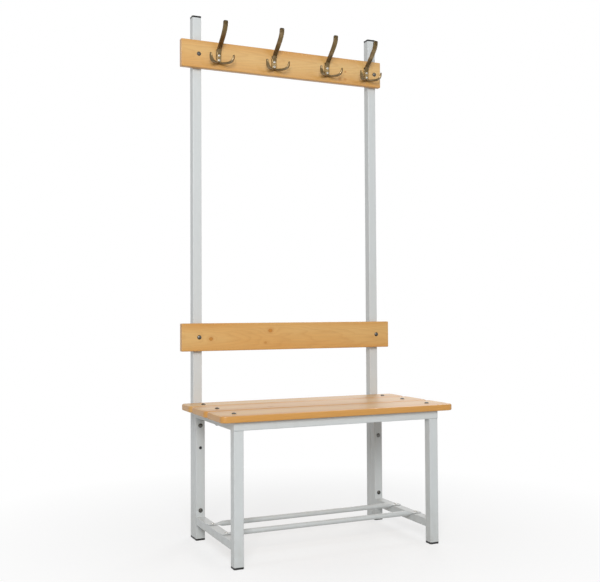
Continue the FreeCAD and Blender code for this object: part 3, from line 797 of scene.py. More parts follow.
class Form:
    """A piece in the making: a mesh that ends as one object at the origin.

    An edge that turns by more than SHARP stays sharp, and points nearer than WELD are one. The
    ends of a bar are rounded in END_STEPS steps, and the corners of an oval by ROUNDNESS of its
    lesser side.
    """

    SHARP = math.radians(32.0)
    WELD = 1e-6
    END_STEPS = 2
    ROUNDNESS = 0.48

    def __init__(self, name: str) -> None:
        """Start an empty piece."""
        self.name = name
        self.mesh = bmesh.new()

    def since(self, known: set[bmesh.types.BMVert]) -> list[bmesh.types.BMVert]:
        """List the vertices that aren't among the known ones."""
        return [v for v in self.mesh.verts if v not in known]

    def end_face(self, axis: Axis, level: float) -> bmesh.types.BMFace:
        """Find the largest face that lies at one level of an axis.

        Args:
            axis: The axis.
            level: The level.

        Returns:
            The face.
        """
        k = axis.value
        flat = [f for f in self.mesh.faces if all(abs(v.co[k] - level) < self.WELD for v in f.verts)]
        return max(flat, key=lambda f: f.calc_area())

    def inset(self, face: bmesh.types.BMFace, rim: float, rise: float = 0.0) -> None:
        """Inset one face by a rim, and raise it."""
        bmesh.ops.inset_region(self.mesh, faces=[face], thickness=rim, depth=rise, use_even_offset=True)

    def block(self, low: Vector, high: Vector) -> list[bmesh.types.BMVert]:
        """Add a box.

        Args:
            low: Its lowest corner.
            high: Its highest corner.

        Returns:
            Its eight vertices.
        """
        verts = bmesh.ops.create_cube(self.mesh, size=1.0)["verts"]
        bmesh.ops.scale(self.mesh, vec=high - low, verts=verts)
        bmesh.ops.translate(self.mesh, vec=(low + high) / 2, verts=verts)
        return verts

    def bevel(self, edges: Iterable[bmesh.types.BMEdge], radius: float, segments: int) -> None:
        """Round edges.

        Args:
            edges: The edges.
            radius: How far the rounding reaches.
            segments: How many steps it has.
        """
        bmesh.ops.bevel(
            self.mesh,
            geom=list(edges),
            offset=radius,
            offset_type="OFFSET",
            segments=segments,
            profile=0.5,
            affect="EDGES",
            material=-1,
            clamp_overlap=True,
        )

    def rounded_block(
        self, low: Vector, high: Vector, axis: Axis, corner: float, edge: float, steps: int = 4
    ) -> None:
        """Add a bar with round long edges and softened ends.

        Args:
            low: Its lowest corner.
            high: Its highest corner.
            axis: The axis that it runs along.
            corner: Radius of its long edges.
            edge: Radius of the edges round its ends.
            steps: How many steps a long edge's rounding has.
        """
        before = set(self.mesh.edges)
        self.block(low, high)
        own = [e for e in self.mesh.edges if e not in before]
        k = axis.value
        least = (high[k] - low[k]) / 2
        long_edges = [e for e in own if abs(e.verts[0].co[k] - e.verts[1].co[k]) > least]
        self.bevel(long_edges, corner, steps)
        own = [e for e in self.mesh.edges if e not in before]
        for level in (low[k], high[k]):
            rim = [e for e in own if e.is_valid and all(abs(v.co[k] - level) < self.WELD for v in e.verts)]
            self.bevel(rim, edge, self.END_STEPS)

    def turned(self, outline: Sequence[Pair], steps: int, place: Matrix) -> None:
        """Add a turned solid.

        Args:
            outline: Points of radius and height, from the axis and back to it.
            steps: How many steps the full turn has.
            place: Where it stands, with its own axis along Z.
        """
        known = set(self.mesh.verts)
        chain = [self.mesh.verts.new((radius, 0.0, height)) for radius, height in outline]
        edges = [self.mesh.edges.new(pair) for pair in zip(chain, chain[1:])]
        bmesh.ops.spin(
            self.mesh,
            geom=[*chain, *edges],
            axis=(0.0, 0.0, 1.0),
            cent=(0.0, 0.0, 0.0),
            steps=steps,
            angle=math.tau,
            use_merge=True,
        )
        bmesh.ops.remove_doubles(self.mesh, verts=self.since(known), dist=self.WELD)
        own = self.since(known)
        self.outward(own)
        bmesh.ops.transform(self.mesh, matrix=place, verts=own)

    def outward(self, verts: Iterable[bmesh.types.BMVert]) -> None:
        """Point the faces of a closed shell outwards."""
        faces = {f for v in verts for f in v.link_faces}
        bmesh.ops.recalc_face_normals(self.mesh, faces=list(faces))

    def loft(self, ring: Sequence[bmesh.types.BMVert], stations: Sequence[Matrix]) -> None:
        """Draw a closed ring of edges through stations and close both ends.

        Args:
            ring: The section's vertices, about the origin in X and Y.
            stations: Where the section stands at each step.
        """
        edges = list({e for v in ring for e in v.link_edges})
        bmesh.ops.transform(self.mesh, matrix=stations[0], verts=list(ring))
        own = list(ring)
        first = edges
        for here, there in zip(stations, stations[1:]):
            drawn = bmesh.ops.extrude_edge_only(self.mesh, edges=edges)["geom"]
            verts = [g for g in drawn if isinstance(g, bmesh.types.BMVert)]
            fresh = set(verts)
            bmesh.ops.transform(self.mesh, matrix=there @ here.inverted(), verts=verts)
            edges = [g for g in drawn if isinstance(g, bmesh.types.BMEdge) and set(g.verts) <= fresh]
            own.extend(verts)
        for rim in (first, edges):
            bmesh.ops.contextual_create(self.mesh, geom=rim)
        self.outward(own)

    def circle(self, radius: float, steps: int) -> list[bmesh.types.BMVert]:
        """Add a ring of edges round the origin and give its vertices."""
        return bmesh.ops.create_circle(self.mesh, segments=steps, radius=radius)["verts"]

    def oval(self, width: float, thickness: float, steps: int = 4) -> list[bmesh.types.BMVert]:
        """Add a ring of edges in the shape of a rounded rectangle about the origin.

        Args:
            width: Its size along X.
            thickness: Its size along Y.
            steps: How many steps each corner has.

        Returns:
            Its vertices, in order.
        """
        radius = min(width, thickness) * self.ROUNDNESS
        ring = []
        for quarter, (i, j) in enumerate(((1, 1), (-1, 1), (-1, -1), (1, -1))):
            centre = Vector((i * (width / 2 - radius), j * (thickness / 2 - radius), 0.0))
            for k in range(steps + 1):
                angle = math.tau / 4 * (quarter + k / steps)
                point = centre + radius * Vector((math.cos(angle), math.sin(angle), 0.0))
                ring.append(self.mesh.verts.new(point))
        for pair in zip(ring, [*ring[1:], ring[0]]):
            self.mesh.edges.new(pair)
        return ring

    def data(self) -> bpy.types.Mesh:
        """Turn the piece into mesh data with smooth faces and sharp corners.

        Returns:
            The mesh data.
        """
        made = bpy.data.meshes.new(self.name)
        self.mesh.to_mesh(made)
        self.mesh.free()
        for polygon in made.polygons:
            polygon.use_smooth = True
        made.set_sharp_from_angle(angle=self.SHARP)
        return made

    def finish(self, material: bpy.types.Material, slot: Slot, *nodes: str) -> None:
        """Make the object, dress it and let it stand for its CAD nodes."""
        settle(self.name, self.data(), material, slot, *nodes)


def added(name: str, data: bpy.types.ID) -> bpy.types.Object:
    """Put an object into the scene.

    Args:
        name: The object's name.
        data: Its mesh, lamp or camera.

    Returns:
        The object.
    """
    item = bpy.data.objects.new(name, data)
    bpy.context.scene.collection.objects.link(item)
    return item


def applied(model: bpy.types.Object, *helpers: bpy.types.Object) -> bpy.types.Mesh:
    """Apply an object's modifiers to new mesh data, and take the object out of the scene.

    Args:
        model: The object.
        *helpers: Objects that its modifiers use, which go with it.

    Returns:
        The new mesh data.
    """
    bpy.context.view_layer.update()
    made = bpy.data.meshes.new_from_object(model.evaluated_get(bpy.context.evaluated_depsgraph_get()))
    for item in (model, *helpers):
        data = item.data
        bpy.data.objects.remove(item)
        bpy.data.meshes.remove(data)
    return made


def settle(name: str, data: bpy.types.Mesh, material: bpy.types.Material, slot: Slot, *nodes: str) -> None:
    """Put finished mesh data into the scene as a piece of the bench.

    Args:
        name: The piece's name.
        data: Its mesh.
        material: Its finish.
        slot: The record's slot for that finish; not used.
        *nodes: The CAD nodes that it stands for.
    """
    piece = added(name, data)
    data.materials.append(material)
    level = piece.modifiers.new("flat_faces_stay_flat", "WEIGHTED_NORMAL")
    level.keep_sharp = True
    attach(piece, ROOT_BODY)
    if nodes:
        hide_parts(*nodes)
    log.info("%s: %d faces, for %s", name, len(data.polygons), ", ".join(nodes) or "no node")


def beside(low: Vector, high: Vector, axis: Axis, depth: float, top: bool = False) -> tuple[Vector, Vector]:
    """Take the slice of a box at one of its ends.

    Args:
        low: The box's lowest corner.
        high: Its highest corner.
        axis: The axis that the slice is square to.
        depth: How thick the slice is.
        top: Whether the slice is at the high end.

    Returns:
        The slice's lowest and highest corners.
    """
    low, high = low.copy(), high.copy()
    if top:
        low[axis.value] = high[axis.value] - depth
    else:
        high[axis.value] = low[axis.value] + depth
    return low, high


@dataclass
class TubeFrame:
    """The frame: posts, legs, rails and crossbars of painted tube, welded where they meet.

    TUBES gives each tube the axis that it runs along and its open ends, True for the high one.

    Attributes:
        paint: The frame's finish.
        corner: Radius of a tube's long edges.
        edge: Softness of its cut ends.
        wall: Thickness of its wall.
        socket: How deep an open end is hollow, for its cap.
        bead: Radius of a weld bead.
        bead_steps: How many steps its section has.
        ripple: Distance from one ripple of a bead to the next.
        trough: How thick a bead is between two ripples, as a share.
        bead_end: How thick it is at its ends, as a share.
        uneven: The least and the greatest share by which its thickness varies.
        chance: What draws that share.
    """

    paint: bpy.types.Material
    corner: float = 0.0025
    edge: float = 0.0004
    wall: float = 0.0015
    socket: float = 0.018
    bead: float = 0.0021
    bead_steps: int = 8
    ripple: float = 0.0014
    trough: float = 0.84
    bead_end: float = 0.5
    uneven: Pair = (0.93, 1.07)
    chance: Random = field(default_factory=lambda: Random(SEED))

    SIDES = ("left", "right")
    TUBES = {
        "upright": (Axis.Z, (False, True)),
        "rear_leg": (Axis.Z, (False,)),
        "front_leg": (Axis.Z, (False,)),
        "top_crossbar": (Axis.Y, ()),
        "lower_crossbar": (Axis.Y, ()),
    }
    RAILS = ("front_seat_rail", "rear_seat_rail")

    def build(self) -> None:
        """Build every tube, the plates on the rails' ends and the welds."""
        for side in self.SIDES:
            for name, (axis, open_ends) in self.TUBES.items():
                self.tube(f"{side}_{name}", axis, open_ends)
        for name in self.RAILS:
            self.tube(name, Axis.X)
        self.end_plates()
        for side in self.SIDES:
            self.welds(side)

    def tube(self, node: str, axis: Axis, open_ends: Sequence[bool] = ()) -> None:
        """Build one tube.

        Args:
            node: Its CAD node.
            axis: The axis that it runs along.
            open_ends: For each open end, whether it is the high one.
        """
        low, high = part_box(node)
        form = Form(f"{node}_tube")
        form.rounded_block(low, high, axis, self.corner, self.edge)
        for top in open_ends:
            self.hollow(form, axis, high[axis.value] if top else low[axis.value], -1.0 if top else 1.0)
        form.finish(self.paint, Slot.STEEL, node)

    def hollow(self, form: Form, axis: Axis, level: float, inward: float) -> None:
        """Hollow out the end of a tube.

        Args:
            form: The tube in the making.
            axis: The axis that it runs along.
            level: Where the end lies on that axis.
            inward: 1 where the tube goes on towards higher values, otherwise -1.
        """
        end = form.end_face(axis, level)
        form.inset(end, self.wall)
        inner = bmesh.ops.extrude_discrete_faces(form.mesh, faces=[end])["faces"]
        step = Vector()
        step[axis.value] = inward * self.socket
        bmesh.ops.translate(form.mesh, vec=step, verts=list({v for f in inner for v in f.verts}))

    def end_plates(self) -> None:
        """Build the thin plates that close the rails' ends."""
        low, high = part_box("rail_end_plates")
        form = Form("rail_closing_plates")
        for rail in self.RAILS:
            start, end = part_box(rail)
            for left, right in ((low.x, start.x), (end.x, high.x)):
                corners = Vector((left, start.y, start.z)), Vector((right, end.y, end.z))
                form.rounded_block(*corners, Axis.X, self.corner, self.edge)
        form.finish(self.paint, Slot.STEEL, "rail_end_plates")

    def welds(self, side: str) -> None:
        """Lay the weld beads of one side of the frame.

        Args:
            side: Left or right.
        """
        form = Form(f"{side}_weld_beads")
        inner = 1 if side == "left" else 0
        top_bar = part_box(f"{side}_top_crossbar")
        low_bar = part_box(f"{side}_lower_crossbar")
        for end in (0, 1):
            y = top_bar[end].y
            inner_x = top_bar[inner].x
            self.lay(form, (top_bar[0].x, y, top_bar[0].z), (top_bar[1].x, y, top_bar[0].z))
            self.lay(form, (inner_x, y, top_bar[0].z), (inner_x, y, top_bar[1].z))
            for level in (low_bar[0].z, low_bar[1].z):
                self.lay(form, (low_bar[0].x, y, level), (low_bar[1].x, y, level))
        for leg in ("front_leg", "rear_leg"):
            low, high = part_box(f"{side}_{leg}")
            x = (low, high)[inner].x
            self.lay(form, (x, low.y, high.z), (x, high.y, high.z))
        form.finish(self.paint, Slot.STEEL)

    def lay(self, form: Form, start: Sequence[float], end: Sequence[float]) -> None:
        """Lay one rippled bead in the corner between two tubes.

        Args:
            form: The beads in the making.
            start: Where it starts.
            end: Where it ends.
        """
        start, end = Vector(start), Vector(end)
        run = end - start
        margin = run.normalized() * self.bead
        start, run = start + margin, run - 2 * margin
        turn = run.to_track_quat("Z", "Y").to_matrix().to_4x4()
        count = 2 * max(2, round(run.length / self.ripple))
        stations = []
        for k in range(count + 1):
            size = 1.0 if k % 2 else self.trough
            size *= self.bead_end if k in (0, count) else self.chance.uniform(*self.uneven)
            stations.append(Matrix.Translation(start + run * (k / count)) @ turn @ Matrix.Scale(size, 4))
        form.loft(form.circle(self.bead, self.bead_steps), stations)


@dataclass
class EndCaps:
    """The black plastic caps under the feet and on top of the posts.

    Attributes:
        plastic: Their finish.
        flange: Thickness of the part that shows.
        corner: Radius of its upright corners.
        edge: Radius of its outer rim.
        recess: How far the moulded recess lies from the rim, and how deep it is.
        neck: How much narrower than the flange the plug's core is, on each side.
        fin: Thickness of a plug's fins.
        fin_steps: How many steps a fin's rounded corners have.
        fin_levels: Where the fins stand, as shares of the plug's height.
        slack: Gap between a fin and the bore of the tube.
    """

    plastic: bpy.types.Material
    flange: float = 0.006
    corner: float = 0.0025
    edge: float = 0.0009
    recess: Pair = (0.0045, 0.0005)
    neck: float = 0.0045
    fin: float = 0.0012
    fin_steps: int = 2
    fin_levels: Triple = (0.3, 0.6, 0.9)
    slack: float = 0.0002

    NODES = ("upright_foot_cap", "rear_leg_foot_cap", "front_leg_foot_cap", "top_cap")

    def build(self) -> None:
        """Build all the caps."""
        for side in TubeFrame.SIDES:
            for name in self.NODES:
                self.cap(f"{side}_{name}", name == "top_cap")

    def cap(self, node: str, top: bool) -> None:
        """Build one cap: a flange with a shallow recess, and a plug with fins inside the tube.

        Args:
            node: Its CAD node.
            top: Whether it closes the top of a post.
        """
        low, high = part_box(node)
        form = Form(f"{node}_moulding")
        outer = beside(low, high, Axis.Z, self.flange, top)
        form.rounded_block(*outer, Axis.Z, self.corner, self.edge)
        face = form.end_face(Axis.Z, outer[1].z if top else outer[0].z)
        margin, depth = self.recess
        form.inset(face, margin)
        form.inset(face, depth, -depth)
        side = Vector((self.neck, self.neck, 0.0))
        form.rounded_block(low + side, high - side, Axis.Z, self.corner, self.edge / 2)
        self.fins(form, low, high, top)
        form.finish(self.plastic, Slot.PLASTIC, node)

    def fins(self, form: Form, low: Vector, high: Vector, top: bool) -> None:
        """Add the thin fins that grip the inside of the tube.

        Args:
            form: The cap in the making.
            low: The cap's lowest corner.
            high: Its highest corner.
            top: Whether it closes the top of a post.
        """
        margin = TubeFrame.wall + self.slack
        side = Vector((margin, margin, 0.0))
        inside = beside(low, high, Axis.Z, high.z - low.z - self.flange, not top)
        for share in self.fin_levels:
            middle = inside[0].z + (inside[1].z - inside[0].z) * share
            fin_low, fin_high = inside[0] + side, inside[1] - side
            fin_low.z, fin_high.z = middle - self.fin / 2, middle + self.fin / 2
            form.rounded_block(fin_low, fin_high, Axis.Z, self.corner / 2, self.fin / 4, self.fin_steps)


@dataclass
class Boards:
    """The wooden parts: three seat slats, the backrest and the hook board.

    Attributes:
        slat_corner: Radius of a slat's corners, seen from above.
        slat_edge: Radius of the edges round its top and underside.
        corner_steps: How many steps a slat's corner has.
        board_edge: Radius of a board's long edges.
        end_edge: Radius of the edges round its ends.
    """

    slat_corner: float = 0.018
    slat_edge: float = 0.004
    corner_steps: int = 8
    board_edge: float = 0.003
    end_edge: float = 0.002

    SAWINGS = {
        "rear_seat_slat": Sawing(Facing.UP, (0.012, -0.052), (0.02, 0.05), (Knot(0.21, 0.012, 0.005, 0.5),)),
        "middle_seat_slat": Sawing(
            Facing.UP, (-0.02, -0.064), (-0.03, 0.06), (Knot(-0.16, -0.03, 0.0065, 0.55),)
        ),
        "front_seat_slat": Sawing(
            Facing.UP, (0.03, -0.058), (0.03, -0.05), (Knot(0.11, 0.028, 0.0055, 0.5),)
        ),
        "backrest_board": Sawing(
            Facing.FRONT,
            (-0.012, -0.050),
            (0.03, 0.045),
            (
                Knot(-0.2805, -0.0058, 0.0052, 0.8),
                Knot(-0.0727, 0.0186, 0.0056, 0.75),
                Knot(-0.0902, -0.0211, 0.0032, 0.45),
            ),
        ),
        "hook_board": Sawing(
            Facing.FRONT,
            (0.016, -0.046),
            (-0.04, 0.055),
            (
                Knot(0.2266, -0.0024, 0.0024, 0.8),
                Knot(0.2050, -0.0300, 0.0040, 0.45),
                Knot(0.2260, -0.0290, 0.0034, 0.45),
            ),
        ),
    }

    def build(self) -> None:
        """Build every slat and board, each with a grain of its own."""
        for node, sawing in self.SAWINGS.items():
            low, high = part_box(node)
            wood = LacqueredPine(f"pine_of_{node}", (low + high) / 2, (high.x - low.x) / 2, sawing)
            form = Form(f"{node}_timber")
            if sawing.facing is Facing.UP:
                form.rounded_block(low, high, Axis.Z, self.slat_corner, self.slat_edge, self.corner_steps)
            else:
                form.rounded_block(low, high, Axis.X, self.board_edge, self.end_edge)
            form.finish(wood.material(), Slot.PINE, node)


@dataclass
class CoatHooks:
    """The four cast coat hooks: a back plate, a tall stem with a thick tip and two curled arms.

    The tables of shares follow the stem and an arm from point to point: how far they have come
    out and up, and how far they have swelled or narrowed. NOSE_SHARES rounds off a tip: how far
    past it a section stands, in the tip's thickness, and how much of the tip's size it keeps.

    Attributes:
        metal: The castings' finish.
        lift: How far the foot of a stem is above the board's lower edge.
        plate: Width, thickness and height of the back plate.
        plate_corner: Radius of the plate's corners.
        plate_edge: Radius of the edges round it.
        strip: Width and thickness of the stem.
        boss: Radius of the corners and of the edges of the boss under the stem's foot.
        rise: Height of the stem above its foot.
        reach: How far its tip stands out from the board.
        tip: Thickness of its tip.
        arm: Width and thickness of an arm.
        arm_reach: How far an arm reaches out from the foot.
        arm_rise: How far it curls up.
        arm_drop: How far its start is below the foot.
        arm_tip: Width of its tip.
        arm_turn: The angle between an arm and the stem, seen from above.
        grain: How finely the casting is blended into one skin.
        blending: How strongly and how many times its inner corners are smoothed.
        steps: How many steps there are between two points of a curve.
    """

    metal: bpy.types.Material
    lift: float = 0.021
    plate: Triple = (0.018, 0.0025, 0.046)
    plate_corner: float = 0.0045
    plate_edge: float = 0.000625
    strip: Pair = (0.016, 0.004)
    boss: Pair = (0.002, 0.0016)
    rise: float = 0.121
    reach: float = 0.072
    tip: float = 0.009
    arm: Pair = (0.013, 0.006)
    arm_reach: float = 0.056
    arm_rise: float = 0.024
    arm_drop: float = 0.004
    arm_tip: float = 0.007
    arm_turn: float = math.radians(45.0)
    grain: float = 0.0006
    blending: tuple[float, int] = (0.5, 5)
    steps: int = 5

    STEM_REACH_SHARES = (0.00, 0.00, 0.06, 0.22, 0.45, 0.67, 0.84, 0.95, 0.99, 1.00)
    STEM_HEIGHT_SHARES = (0.00, 0.25, 0.37, 0.46, 0.57, 0.68, 0.78, 0.87, 0.94, 1.00)
    STEM_SWELLING_SHARES = (0.00, 0.00, 0.15, 0.35, 0.55, 0.70, 0.82, 0.92, 1.00, 1.00)
    ARM_REACH_SHARES = (0.08, 0.24, 0.46, 0.70, 0.88, 0.97, 1.00)
    ARM_HEIGHT_SHARES = (0.16, 0.09, 0.05, 0.08, 0.28, 0.62, 1.00)
    ARM_THICKNESS_SHARES = (1.00, 1.00, 1.00, 1.00, 1.00, 0.92, 0.75)
    ARM_WIDTH_SHARES = (0.0, 0.0, 0.0, 0.0, 0.1, 0.45, 1.0)
    NOSE_SHARES = ((0.30, 0.90), (0.45, 0.62))
    NODES = tuple(f"coat_hook_{number}" for number in range(1, 5))

    def build(self) -> None:
        """Cast one hook and set a copy of it in each place."""
        casting = self.casting()
        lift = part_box("hook_board")[0].z + self.lift
        for number, node in enumerate(self.NODES, 1):
            low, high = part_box(node)
            data = casting.copy()
            data.transform(Matrix.Translation(((low.x + high.x) / 2, high.y, lift)))
            settle(f"hook_casting_{number}", data, self.metal, Slot.BRONZE, node)
        bpy.data.meshes.remove(casting)

    def casting(self) -> bpy.types.Mesh:
        """Model a hook about the foot of its stem and blend its members into one skin.

        Returns:
            The mesh data.
        """
        form = Form("hook_pattern")
        wide, thick, tall = self.plate
        corners = Vector((-wide / 2, -thick, 0.0)), Vector((wide / 2, 0.0, tall))
        form.rounded_block(*corners, Axis.Y, self.plate_corner, self.plate_edge)
        across, front = self.strip[0], thick + self.strip[1]
        foot = -self.arm_drop
        corners = Vector((-across / 2, -front, foot)), Vector((across / 2, 0.0, foot + across))
        form.rounded_block(*corners, Axis.Y, *self.boss)
        self.stem(form)
        for side in (-1, 1):
            self.curl(form, side)
        return self.blended(form.data())

    def stem(self, form: Form) -> None:
        """Draw the tall middle strip.

        Args:
            form: The hook in the making.
        """
        root = self.plate[1] + self.strip[1] / 2
        reach, rise = self.reach - root, self.rise - self.tip / 2
        shares = zip(self.STEM_REACH_SHARES, self.STEM_HEIGHT_SHARES)
        line = self.eased([Vector((0.0, -root - reach * r, rise * h)) for r, h in shares])
        swelling = self.tip / self.strip[1] - 1.0
        sizes = [(1.0, 1.0 + swelling * s) for s in self.spread(self.STEM_SWELLING_SHARES)]
        self.strand(form, line, sizes, Vector((1.0, 0.0, 0.0)), self.strip)

    def curl(self, form: Form, side: int) -> None:
        """Draw one lower arm.

        Args:
            form: The hook in the making.
            side: -1 for the left arm and 1 for the right one.
        """
        up = Vector((0.0, 0.0, 1.0))
        outward = Vector((side * math.sin(self.arm_turn), -math.cos(self.arm_turn), 0.0))
        foot = -self.arm_drop * up
        shares = zip(self.ARM_REACH_SHARES, self.ARM_HEIGHT_SHARES)
        steps = (outward * (self.arm_reach * r) + up * (self.arm_rise * h) for r, h in shares)
        line = self.eased([foot + step for step in steps])
        narrowing = 1.0 - self.arm_tip / self.arm[0]
        widths = [1.0 - narrowing * s for s in self.spread(self.ARM_WIDTH_SHARES)]
        sizes = list(zip(widths, self.spread(self.ARM_THICKNESS_SHARES)))
        self.strand(form, line, sizes, outward.cross(up), self.arm)

    def eased(self, points: Sequence[Vector]) -> list[Vector]:
        """Draw a smooth line through points.

        Args:
            points: The points.

        Returns:
            More points on the same line.
        """
        line = [points[0]]
        last = len(points) - 1
        for k in range(last):
            before, after = points[max(k - 1, 0)], points[min(k + 2, last)]
            here, there = points[k], points[k + 1]
            for step in range(1, self.steps + 1):
                t = step / self.steps
                pull = (after - here) * (t**3 - t**2) + (there - before) * (t**3 - 2 * t**2 + t)
                line.append(here + (there - here) * (3 * t**2 - 2 * t**3) + pull / 2)
        return line

    def spread(self, levels: Sequence[float]) -> list[float]:
        """Spread levels over the steps of a line in the same way as its points.

        Args:
            levels: One level for each point.

        Returns:
            One level for each step.
        """
        made = [levels[0]]
        for here, there in zip(levels, levels[1:]):
            made.extend(here + (there - here) * step / self.steps for step in range(1, self.steps + 1))
        return made

    def strand(
        self, form: Form, line: Sequence[Vector], sizes: Sequence[Pair], across: Vector, section: Pair
    ) -> None:
        """Draw a strip of metal along a line to a blunt round end.

        Args:
            form: The hook in the making.
            line: The strip's middle line.
            sizes: Width and thickness at each point, as shares of the section.
            across: The direction of its width.
            section: Its width and thickness.
        """
        stations = []
        for k, point in enumerate(line):
            ahead = (line[min(k + 1, len(line) - 1)] - line[max(k - 1, 0)]).normalized()
            stations.append(self.station(point, ahead, across, sizes[k]))
        width, thickness = sizes[-1]
        end = section[1] * thickness
        for out, share in self.NOSE_SHARES:
            size = width * share, thickness * share
            stations.append(self.station(line[-1] + ahead * (end * out), ahead, across, size))
        form.loft(form.oval(*section), stations)

    def station(self, point: Vector, ahead: Vector, across: Vector, size: Pair) -> Matrix:
        """Place a section square to a line.

        Args:
            point: Where it stands.
            ahead: The line's direction.
            across: The direction of the section's width.
            size: Its width and thickness, as shares of the drawn section.

        Returns:
            The placing matrix.
        """
        through = ahead.cross(across).normalized()
        turn = Matrix((across, through, ahead)).transposed().to_4x4()
        return Matrix.Translation(point) @ turn @ Matrix.Diagonal((*size, 1.0, 1.0))

    def blended(self, pattern: bpy.types.Mesh) -> bpy.types.Mesh:
        """Blend the members of a pattern into one skin with soft inner corners.

        Args:
            pattern: The pattern's mesh data.

        Returns:
            The blended mesh data.
        """
        model = added("hook_pattern", pattern)
        skin = model.modifiers.new("one_skin", "REMESH")
        skin.mode = "VOXEL"
        skin.voxel_size = self.grain
        skin.use_smooth_shade = True
        soften = model.modifiers.new("soft_corners", "SMOOTH")
        soften.factor, soften.iterations = self.blending
        return applied(model)


@dataclass
class ShoeRack:
    """The low rack: two round tubes, pressed flat where they are screwed to the lower crossbars.

    END_SHARES softens a rod's ends. Each row is a distance from the end, and the shares of the
    blade's width and thickness that the rod has there.

    Attributes:
        paint: The rods' finish.
        radius: Half of a rod's width.
        blade: Half of a pressed end's width and of its thickness.
        flat: Length of a pressed end.
        taper: Length over which it grows round.
        taper_steps: How many steps the taper has.
        round_steps: How many steps a rod's section has.
    """

    paint: bpy.types.Material
    radius: float = 0.008
    blade: Pair = (0.011, 0.0015)
    flat: float = 0.026
    taper: float = 0.024
    taper_steps: int = 8
    round_steps: int = 32

    NODES = ("front_rack_rod", "rear_rack_rod")
    END_SHARES = ((0.0, 0.86, 0.5), (0.0006, 0.96, 0.9), (0.002, 1.0, 1.0))

    def build(self) -> None:
        """Build both rods."""
        for node in self.NODES:
            self.rod(node)

    def rod(self, node: str) -> None:
        """Draw one rod from its left end to its right end.

        Args:
            node: Its CAD node.
        """
        low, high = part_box(node)
        middle = (low + high) / 2
        half = (high.x - low.x) / 2
        width, thickness = self.blade
        profile = [*self.END_SHARES, (self.flat, 1.0, 1.0)]
        stations = [(half - back, width * wide, thickness * thick) for back, wide, thick in profile]
        for k in range(1, self.taper_steps + 1):
            share = k / self.taper_steps
            ease = share * share * (3.0 - 2.0 * share)
            size = (b + (self.radius - b) * ease for b in self.blade)
            stations.append((half - self.flat - self.taper * share, *size))
        whole = [(-at, wide, thick) for at, wide, thick in stations] + stations[::-1]
        form = Form(f"{node}_tube")
        turn = Matrix(((0.0, 0.0, 1.0), (1.0, 0.0, 0.0), (0.0, 1.0, 0.0))).to_4x4()
        places = []
        for at, wide, thick in whole:
            place = Matrix.Translation(middle + Vector((at, 0.0, 0.0)))
            places.append(place @ turn @ Matrix.Diagonal((wide, thick, 1.0, 1.0)))
        form.loft(form.circle(1.0, self.round_steps), places)
        form.finish(self.paint, Slot.STEEL, node)


